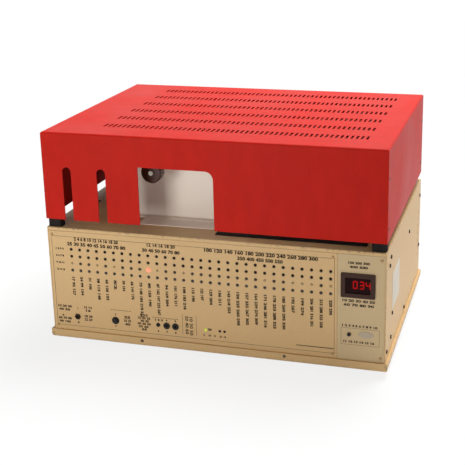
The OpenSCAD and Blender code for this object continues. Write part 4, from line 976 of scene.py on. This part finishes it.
class CHROMATOGRAPH_OT_print_controls(bpy.types.Operator):
    """Prints figures, a scale and dashed lines round the lower controls"""

    bl_idname = "chromatograph.print_controls"
    bl_label = "Print Control Marks"

    def execute(self, context):
        width = context.scene.chromatograph_print.line_width
        marks = bmesh.new()
        face_y = FACE_LOW[1]
        toggle_x, _, control_z = middle("toggle_body")
        start_x = middle("start_button")[0]
        lamp_x = middle("indicator_led")[0]
        jack_x = toggle_x + JACKS_FROM_TOGGLE
        for centre_x, group in ((toggle_x, TOGGLE_MARKS), (start_x, START_MARKS),
                                (jack_x + BLOCK_FROM_JACKS, BLOCK_MARKS),
                                (jack_x, JACK_MARKS), (lamp_x, LAMP_MARKS)):
            stamp_marks(marks, group, centre_x, face_y, control_z)
        stamp_dot(marks, toggle_x - 23.2 * MM, face_y, control_z + 0.2 * MM, 1.3 * MM)
        # dashed lines over the start button and the jacks
        for left, up, count in ((start_x - 6 * MM, control_z + 16.4 * MM, 8),
                                (jack_x - 21 * MM, control_z + 11.2 * MM, 10)):
            for start in (left + dash * DASH_STEP for dash in range(count)):
                stamp_line(marks, face_y, (start, up), (start + DASH, up), DASH_WIDTH)
        # scale between two lines, beside the jacks
        low = (jack_x + 24 * MM, control_z - 10.5 * MM)
        high = (jack_x + 44.5 * MM, control_z + 19.4 * MM)
        for x in (low[0], high[0]):
            stamp_line(marks, face_y, (x, low[1]), (x, high[1]), width)
        for right, text in ((6.4, "20 40 60"), (12.8, "10 30 50")):
            stamp_upright(marks, text, 4.6 * MM, low[0] + right * MM, face_y,
                          high[1] - 1 * MM, 28 * MM, UPRIGHT_WEIGHT)
        # rule at the right-hand end of the face
        rule_z = control_z - 8 * MM
        end = FACE_HIGH[0] - 5 * MM
        stamp_line(marks, face_y, (end - RULE_LENGTH, rule_z), (end, rule_z), RULE_WIDTH)
        finish_marks("control_marks", marks, context)
        return {"FINISHED"}


class CHROMATOGRAPH_OT_print_display(bpy.types.Operator):
    """Prints the figures and the frame round the display"""

    bl_idname = "chromatograph.print_display"
    bl_label = "Print Display Marks"

    def execute(self, context):
        line_width = context.scene.chromatograph_print.line_width * 0.7
        marks = bmesh.new()
        face_y = DISPLAY_LOW[1]
        centre_x, _, centre_z = middle("display_bezel")
        select_x, _, select_z = middle("select_button")
        stamp_marks(marks, DISPLAY_MARKS, centre_x, face_y, centre_z)
        stamp_marks(marks, SELECT_MARKS, select_x, face_y, select_z)
        stamp_frame(marks, face_y, (select_x - 11 * MM, select_z - 15 * MM),
                    (select_x + 41 * MM, select_z + 9 * MM), line_width)
        finish_marks("display_marks", marks, context)
        return {"FINISHED"}


# ---------- operators: lenses and trim ----------


class CHROMATOGRAPH_OT_fit_oval_plate(bpy.types.Operator):
    """Fits the bare oval plate beside the select button"""

    bl_idname = "chromatograph.fit_oval_plate"
    bl_label = "Fit Oval Plate"

    def execute(self, context):
        select_x, _, select_z = middle("select_button")
        half_width, half_height, thickness = 10.4 * MM, 5.0 * MM, 0.25 * MM
        plate = bmesh.new()
        place = facing_front(select_x + 22.9 * MM, DISPLAY_LOW[1] - thickness / 2,
                             select_z + 0.6 * MM)
        size = Matrix.Diagonal((half_width, half_height, 1, 1))
        bmesh.ops.create_cone(plate, cap_ends=True, segments=48, radius1=1, radius2=1,
                              depth=thickness, matrix=place @ size)
        front = [face for face in plate.faces if face.normal.y < -0.9]
        bmesh.ops.inset_region(plate, faces=front, thickness=0.7 * MM, depth=-0.08 * MM)
        make_piece("oval_plate", plate, metal("oval_nickel", (0.34, 0.28, 0.20), 0.5), "chassis",
                   False)
        return {"FINISHED"}


class CHROMATOGRAPH_OT_fit_lenses(bpy.types.Operator):
    """Fits pale lenses over some of the status lamps, and a cap over the lit one"""

    bl_idname = "chromatograph.fit_lenses"
    bl_label = "Fit Lenses"

    def execute(self, context):
        radius, height, base = 1.72 * MM, 1.1 * MM, 0.35 * MM
        lenses = bmesh.new()
        add_domes(lenses, [facing_front(column_x(column), FACE_LOW[1] + base, row_z(LAMP_ROW))
                           for column in PALE_LENS_COLUMNS], radius, height)
        make_piece("pale_lenses", lenses, lamp_lens("pale_lens", (0.42, 0.29, 0.12)), "chassis")
        cap_radius, cap_height = 3.1 * MM, 1.6 * MM
        lit_x, _, lit_z = middle("lit_status_led")
        cap = bmesh.new()
        add_domes(cap, [facing_front(lit_x, FACE_LOW[1], lit_z)], cap_radius, cap_height, 20, 5)
        make_piece("lit_lens_cap", cap, lamp_lens("lit_cap", (1.0, 0.16, 0.10), 1.5), "chassis")
        return {"FINISHED"}


class CHROMATOGRAPH_OT_fit_rivets(bpy.types.Operator):
    """Fits the rivets of the cover's corner tabs"""

    bl_idname = "chromatograph.fit_rivets"
    bl_label = "Fit Cover Rivets"

    def execute(self, context):
        settings = context.scene.chromatograph_trim
        edge_gap, lower, upper = 9 * MM, 18 * MM, 86 * MM
        places = []
        for side, face_x in ((-1, COVER_LOW[0]), (1, COVER_HIGH[0])):
            turn = Matrix.Rotation(side * QUARTER_TURN, 4, "Y")
            for along in (COVER_LOW[1] + edge_gap, COVER_HIGH[1] - edge_gap):
                places += [Matrix.Translation((face_x, along, COVER_LOW[2] + up)) @ turn
                           for up in (lower, upper)]
        rivets = bmesh.new()
        add_domes(rivets, places, settings.rivet_radius, settings.rivet_height)
        make_piece("cover_rivets", rivets, black_oxide(), "cover")
        return {"FINISHED"}


class CHROMATOGRAPH_OT_fit_lip_screws(bpy.types.Operator):
    """Fits the two dark screws in the tray's front lip"""

    bl_idname = "chromatograph.fit_lip_screws"
    bl_label = "Fit Lip Screws"

    def execute(self, context):
        settings = context.scene.chromatograph_trim
        lip_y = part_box("base_tray")[0][1]
        screw_z = middle("base_tray")[2] + 2.2 * MM
        screws = bmesh.new()
        add_domes(screws, [facing_front(side * settings.lip_screw_reach, lip_y, screw_z)
                           for side in (-1, 1)], settings.screw_radius, settings.screw_height)
        make_piece("lip_screws", screws, black_oxide(), "chassis")
        return {"FINISHED"}


class CHROMATOGRAPH_OT_fit_hinge_screws(bpy.types.Operator):
    """Fits three screws in each leaf of the two hinges"""

    bl_idname = "chromatograph.fit_hinge_screws"
    bl_label = "Fit Hinge Screws"

    def execute(self, context):
        settings = context.scene.chromatograph_trim
        turn = Matrix.Rotation(-QUARTER_TURN, 4, "X")
        screw_rows = ((0.2, 7 * MM), (0.5, 13 * MM), (0.8, 7 * MM))    # along and in from the tip
        for node, body, upward in (("hinge_leaves_upper", "cover", 1),
                                   ("hinge_leaves_lower", "chassis", -1)):
            points = [vert.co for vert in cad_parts[node].data.vertices]
            outer = max(point.x for point in points)
            inner = min(abs(point.x) for point in points)
            tip = max(point.z * upward for point in points) * upward
            face_y = max(point.y for point in points if abs(point.z - tip) < 1 * MM)
            places = [Matrix.Translation((side * (inner + (outer - inner) * share), face_y,
                                          tip - upward * from_tip)) @ turn
                      for side in (-1, 1) for share, from_tip in screw_rows]
            screws = bmesh.new()
            add_domes(screws, places, settings.screw_radius, settings.screw_height)
            make_piece(node.replace("leaves", "screws"), screws, black_oxide(), body)
        return {"FINISHED"}


class CHROMATOGRAPH_OT_fit_apron(bpy.types.Operator):
    """Lays a pale enamelled sheet on the deck in front of the oven, as painted light where light
    falls in through the cover's opening
    """

    bl_idname = "chromatograph.fit_apron"
    bl_label = "Fit Painted Light Sheet"

    def execute(self, context):
        # the pale sheet brightens the deck where light falls in through the cover's opening:
        # painted light
        front_gap, oven_gap, thickness, corner = 40 * MM, 1 * MM, 0.8 * MM, 4 * MM
        low = (-120 * MM, COVER_LOW[1] + front_gap, DECK_TOP)
        high = (-6 * MM, OVEN_LOW[1] - oven_gap, DECK_TOP + thickness)
        light_sheet = bmesh.new()
        add_plate(light_sheet, low, high, 2, corner)
        make_piece("painted_light_sheet", light_sheet, oven_enamel(context.scene.chromatograph_paint),
                   "chassis", False)
        return {"FINISHED"}


class CHROMATOGRAPH_OT_fit_deck_seal(bpy.types.Operator):
    """Lays a black strip on the deck behind the cover's front wall, as painted shade where the
    cover shades the deck
    """

    bl_idname = "chromatograph.fit_deck_seal"
    bl_label = "Fit Painted Shade Strip"

    def execute(self, context):
        # the black strip darkens the deck where the cover's front wall shades it: painted shade
        front_gap, depth, thickness, rounding = 19 * MM, 27 * MM, 1.6 * MM, 0.5 * MM
        low = (2 * MM, COVER_LOW[1] + front_gap, DECK_TOP)
        high = (COVER_HIGH[0] - 30 * MM, low[1] + depth, DECK_TOP + thickness)
        shade_strip = bmesh.new()
        add_block(shade_strip, low, high)
        bevel(shade_strip, list(shade_strip.edges), rounding, 2)
        make_piece("painted_shade_strip", shade_strip, black_rubber(), "chassis", False)
        return {"FINISHED"}


class CHROMATOGRAPH_OT_fit_side_plate(bpy.types.Operator):
    """Fits the bare plate on the right side panel"""

    bl_idname = "chromatograph.fit_side_plate"
    bl_label = "Fit Side Plate"

    def execute(self, context):
        length, height, thickness, corner = 66 * MM, 54 * MM, 0.3 * MM, 2 * MM
        low = (SIDE_HIGH[0], SIDE_LOW[1] + 54 * MM, SIDE_LOW[2] + 66 * MM)
        high = (low[0] + thickness, low[1] + length, low[2] + height)
        plate = bmesh.new()
        add_plate(plate, low, high, 0, corner)
        make_piece("side_plate", plate, bare_plate(), "chassis", False)
        return {"FINISHED"}


class CHROMATOGRAPH_OT_fit_rear_plate(bpy.types.Operator):
    """Fits the bare rating plate and prints the port numbers at the rear"""

    bl_idname = "chromatograph.fit_rear_plate"
    bl_label = "Fit Rear Plate"

    def execute(self, context):
        half_width, height, thickness, corner = 30 * MM, 34 * MM, 0.5 * MM, 3 * MM
        screw_inset, head_radius, head_height = 4 * MM, 1.4 * MM, 0.5 * MM
        inlet_x = middle("power_inlet")[0]
        low = (inlet_x - half_width, REAR_Y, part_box("power_inlet")[1][2] + 16 * MM)
        high = (inlet_x + half_width, REAR_Y + thickness, low[2] + height)
        plate = bmesh.new()
        add_plate(plate, low, high, 1, corner)
        turn = Matrix.Rotation(-QUARTER_TURN, 4, "X")
        add_domes(plate, [Matrix.Translation((x, high[1], z)) @ turn
                          for x in (low[0] + screw_inset, high[0] - screw_inset)
                          for z in (low[2] + screw_inset, high[2] - screw_inset)],
                  head_radius, head_height)
        make_piece("rating_plate", plate, bare_plate(), "chassis", False)
        marks = bmesh.new()
        ports_low, ports_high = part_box("gas_fittings")
        count, port_radius = 4, 7 * MM
        first, last = ports_low[0] + port_radius, ports_high[0] - port_radius
        number_z = ports_high[2] + (ports_high[2] - ports_low[2]) / 2
        figures = [(str(index + 1), first + (last - first) * index / (count - 1), number_z)
                   for index in range(count)]
        switch_low, switch_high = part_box("power_switch_body")
        switch_x = middle("power_switch_body")[0]
        from_switch, figure_height = 5 * MM, 4 * MM
        figures += [("I", switch_x, switch_high[2] + from_switch),
                    ("0", switch_x, switch_low[2] - from_switch)]
        for text, x, z in figures:
            stamp_text(marks, text, figure_height, facing_rear(x, REAR_Y + PRINT_LIFT, z),
                       weight=PORT_WEIGHT)
        finish_marks("port_numbers", marks, context)
        return {"FINISHED"}


# ---------- operators: studio ----------

FLOOR_GREY = 0.86
FLOOR_WHITENESS = 0.82    # share of plain white seen in the floor near the object
FADE_START, FADE_END = 0.40, 0.95    # where the floor turns wholly white, from its middle

CAMERA_AZIMUTH = math.radians(16.529)
CAMERA_ELEVATION = math.radians(16.368)
CAMERA_ROLL = math.radians(-1.168)
CAMERA_DISTANCE = 1.5469
CAMERA_TARGET = Vector((0.00434, -0.00922, 0.20903))
SENSOR_WIDTH = 36
FOCAL_LENGTH = 79.104
SHIFT = (-0.03219, -0.10753)


class CHROMATOGRAPH_OT_set_stage(bpy.types.Operator):
    """Sets up the floor, the lamps, the world and the camera"""

    bl_idname = "chromatograph.set_stage"
    bl_label = "Set Stage"

    def execute(self, context):
        settings = context.scene.chromatograph_stage
        make_floor(settings)
        make_world(settings)
        make_lamps(settings)
        make_camera()
        context.scene.view_settings.view_transform = "Standard"
        return {"FINISHED"}


def make_floor(settings):
    mesh_data = bmesh.new()
    bmesh.ops.create_grid(mesh_data, x_segments=1, y_segments=1, size=settings.floor_size / 2)
    mesh = bpy.data.meshes.new("floor")
    mesh_data.to_mesh(mesh)
    mesh_data.free()
    material = bpy.data.materials.new("pale_floor")
    nodes = NodeTree(material)
    reach = nodes.new("ShaderNodeVectorMath", operation="LENGTH")
    nodes.join(nodes.new("ShaderNodeTexCoord").outputs["Object"], reach.inputs[0])
    fade = nodes.span(reach.outputs["Value"], FADE_START, FADE_END, FLOOR_WHITENESS, 1.0)
    matt = nodes.new("ShaderNodeBsdfDiffuse")
    matt.inputs["Color"].default_value = (FLOOR_GREY, FLOOR_GREY, FLOOR_GREY, 1)
    share = nodes.calculate("MULTIPLY", nodes.seen_directly(), fade)
    nodes.end_with_blend(share, matt, nodes.new("ShaderNodeEmission"),
                         "ShaderNodeOutputMaterial")
    mesh.materials.append(material)
    floor = bpy.data.objects.new("floor", mesh)
    bpy.context.scene.collection.objects.link(floor)


def make_world(settings):
    """A weak, even light, seen as plain white."""
    world = bpy.data.worlds.new("studio")
    nodes = NodeTree(world)
    ambient, white = (nodes.new("ShaderNodeBackground") for _ in range(2))
    for background in (ambient, white):
        background.inputs["Color"].default_value = (1, 1, 1, 1)
    ambient.inputs["Strength"].default_value = settings.ambient
    nodes.end_with_blend(nodes.seen_directly(), ambient, white, "ShaderNodeOutputWorld")
    bpy.context.scene.world = world


def add_area_lamp(name, place, aim, size, power):
    data = bpy.data.lights.new(name, "AREA")
    data.shape = "SQUARE"
    data.size = size
    data.energy = power
    lamp = bpy.data.objects.new(name, data)
    lamp.location = place
    lamp.rotation_euler = (Vector(aim) - Vector(place)).to_track_quat("-Z", "Y").to_euler()
    bpy.context.scene.collection.objects.link(lamp)


def make_lamps(settings):
    heart = (0, 0, 0.2)
    past_left = (-1.25, 0, 0.22)    # so that the front lamp's light falls off to the right
    add_area_lamp("overhead_lamp", (0.45, 0.75, 2.2), heart, 1.3, settings.key_power)
    add_area_lamp("side_lamp", (2.4, 0.4, 0.9), heart, 1.2, settings.fill_power)
    add_area_lamp("front_lamp", (-0.42, -1.5, 0.36), past_left, 0.6, settings.front_power)


def make_camera():
    turned, raised = CAMERA_AZIMUTH, CAMERA_ELEVATION
    back = Vector((math.sin(turned) * math.cos(raised), -math.cos(turned) * math.cos(raised),
                   math.sin(raised)))
    right = Vector((math.cos(turned), math.sin(turned), 0))
    up = back.cross(right)
    rolled_right = math.cos(CAMERA_ROLL) * right + math.sin(CAMERA_ROLL) * up
    rolled_up = math.cos(CAMERA_ROLL) * up - math.sin(CAMERA_ROLL) * right
    data = bpy.data.cameras.new("studio_camera")
    data.sensor_width = SENSOR_WIDTH
    data.lens = FOCAL_LENGTH
    data.shift_x, data.shift_y = SHIFT
    data.clip_end = 60
    camera = bpy.data.objects.new("studio_camera", data)
    turn = Matrix((rolled_right, rolled_up, back)).transposed().to_4x4()
    camera.matrix_world = Matrix.Translation(CAMERA_TARGET + back * CAMERA_DISTANCE) @ turn
    bpy.context.scene.collection.objects.link(camera)
    bpy.context.scene.camera = camera


# ---------- panel and registration ----------

OPERATORS = (    # in the order in which they run
    CHROMATOGRAPH_OT_set_stage,
    CHROMATOGRAPH_OT_paint_cover,
    CHROMATOGRAPH_OT_paint_case,
    CHROMATOGRAPH_OT_finish_oven,
    CHROMATOGRAPH_OT_finish_plastics,
    CHROMATOGRAPH_OT_finish_metals,
    CHROMATOGRAPH_OT_print_scales,
    CHROMATOGRAPH_OT_print_rings,
    CHROMATOGRAPH_OT_print_groups,
    CHROMATOGRAPH_OT_print_controls,
    CHROMATOGRAPH_OT_print_display,
    CHROMATOGRAPH_OT_fit_oval_plate,
    CHROMATOGRAPH_OT_fit_lenses,
    CHROMATOGRAPH_OT_fit_rivets,
    CHROMATOGRAPH_OT_fit_lip_screws,
    CHROMATOGRAPH_OT_fit_hinge_screws,
    CHROMATOGRAPH_OT_fit_apron,
    CHROMATOGRAPH_OT_fit_deck_seal,
    CHROMATOGRAPH_OT_fit_side_plate,
    CHROMATOGRAPH_OT_fit_rear_plate,
)

SETTINGS = {
    "chromatograph_paint": PaintSettings,
    "chromatograph_print": PrintSettings,
    "chromatograph_trim": TrimSettings,
    "chromatograph_stage": StageSettings,
}


class CHROMATOGRAPH_PT_steps(bpy.types.Panel):
    """Lists the steps and the settings of the chromatograph."""

    bl_label = "Chromatograph"
    bl_idname = "CHROMATOGRAPH_PT_steps"
    bl_space_type = "VIEW_3D"
    bl_region_type = "UI"
    bl_category = "Chromatograph"

    def draw(self, context):
        for operator in OPERATORS:
            self.layout.operator(operator.bl_idname)
        for group in SETTINGS:
            settings = getattr(context.scene, group)
            for name in settings.__annotations__:
                self.layout.prop(settings, name)


CLASSES = (*SETTINGS.values(), *OPERATORS, CHROMATOGRAPH_PT_steps)


def register():
    for cls in CLASSES:
        bpy.utils.register_class(cls)
    for name, group in SETTINGS.items():
        setattr(bpy.types.Scene, name, PointerProperty(type=group))


def unregister():
    for name in SETTINGS:
        delattr(bpy.types.Scene, name)
    for cls in reversed(CLASSES):
        bpy.utils.unregister_class(cls)


def main():
    """Runs every step in order."""
    register()
    for operator in OPERATORS:
        step = operator.bl_idname.partition(".")[2]
        getattr(bpy.ops.chromatograph, step)()


if __name__ == "__main__":
    main()
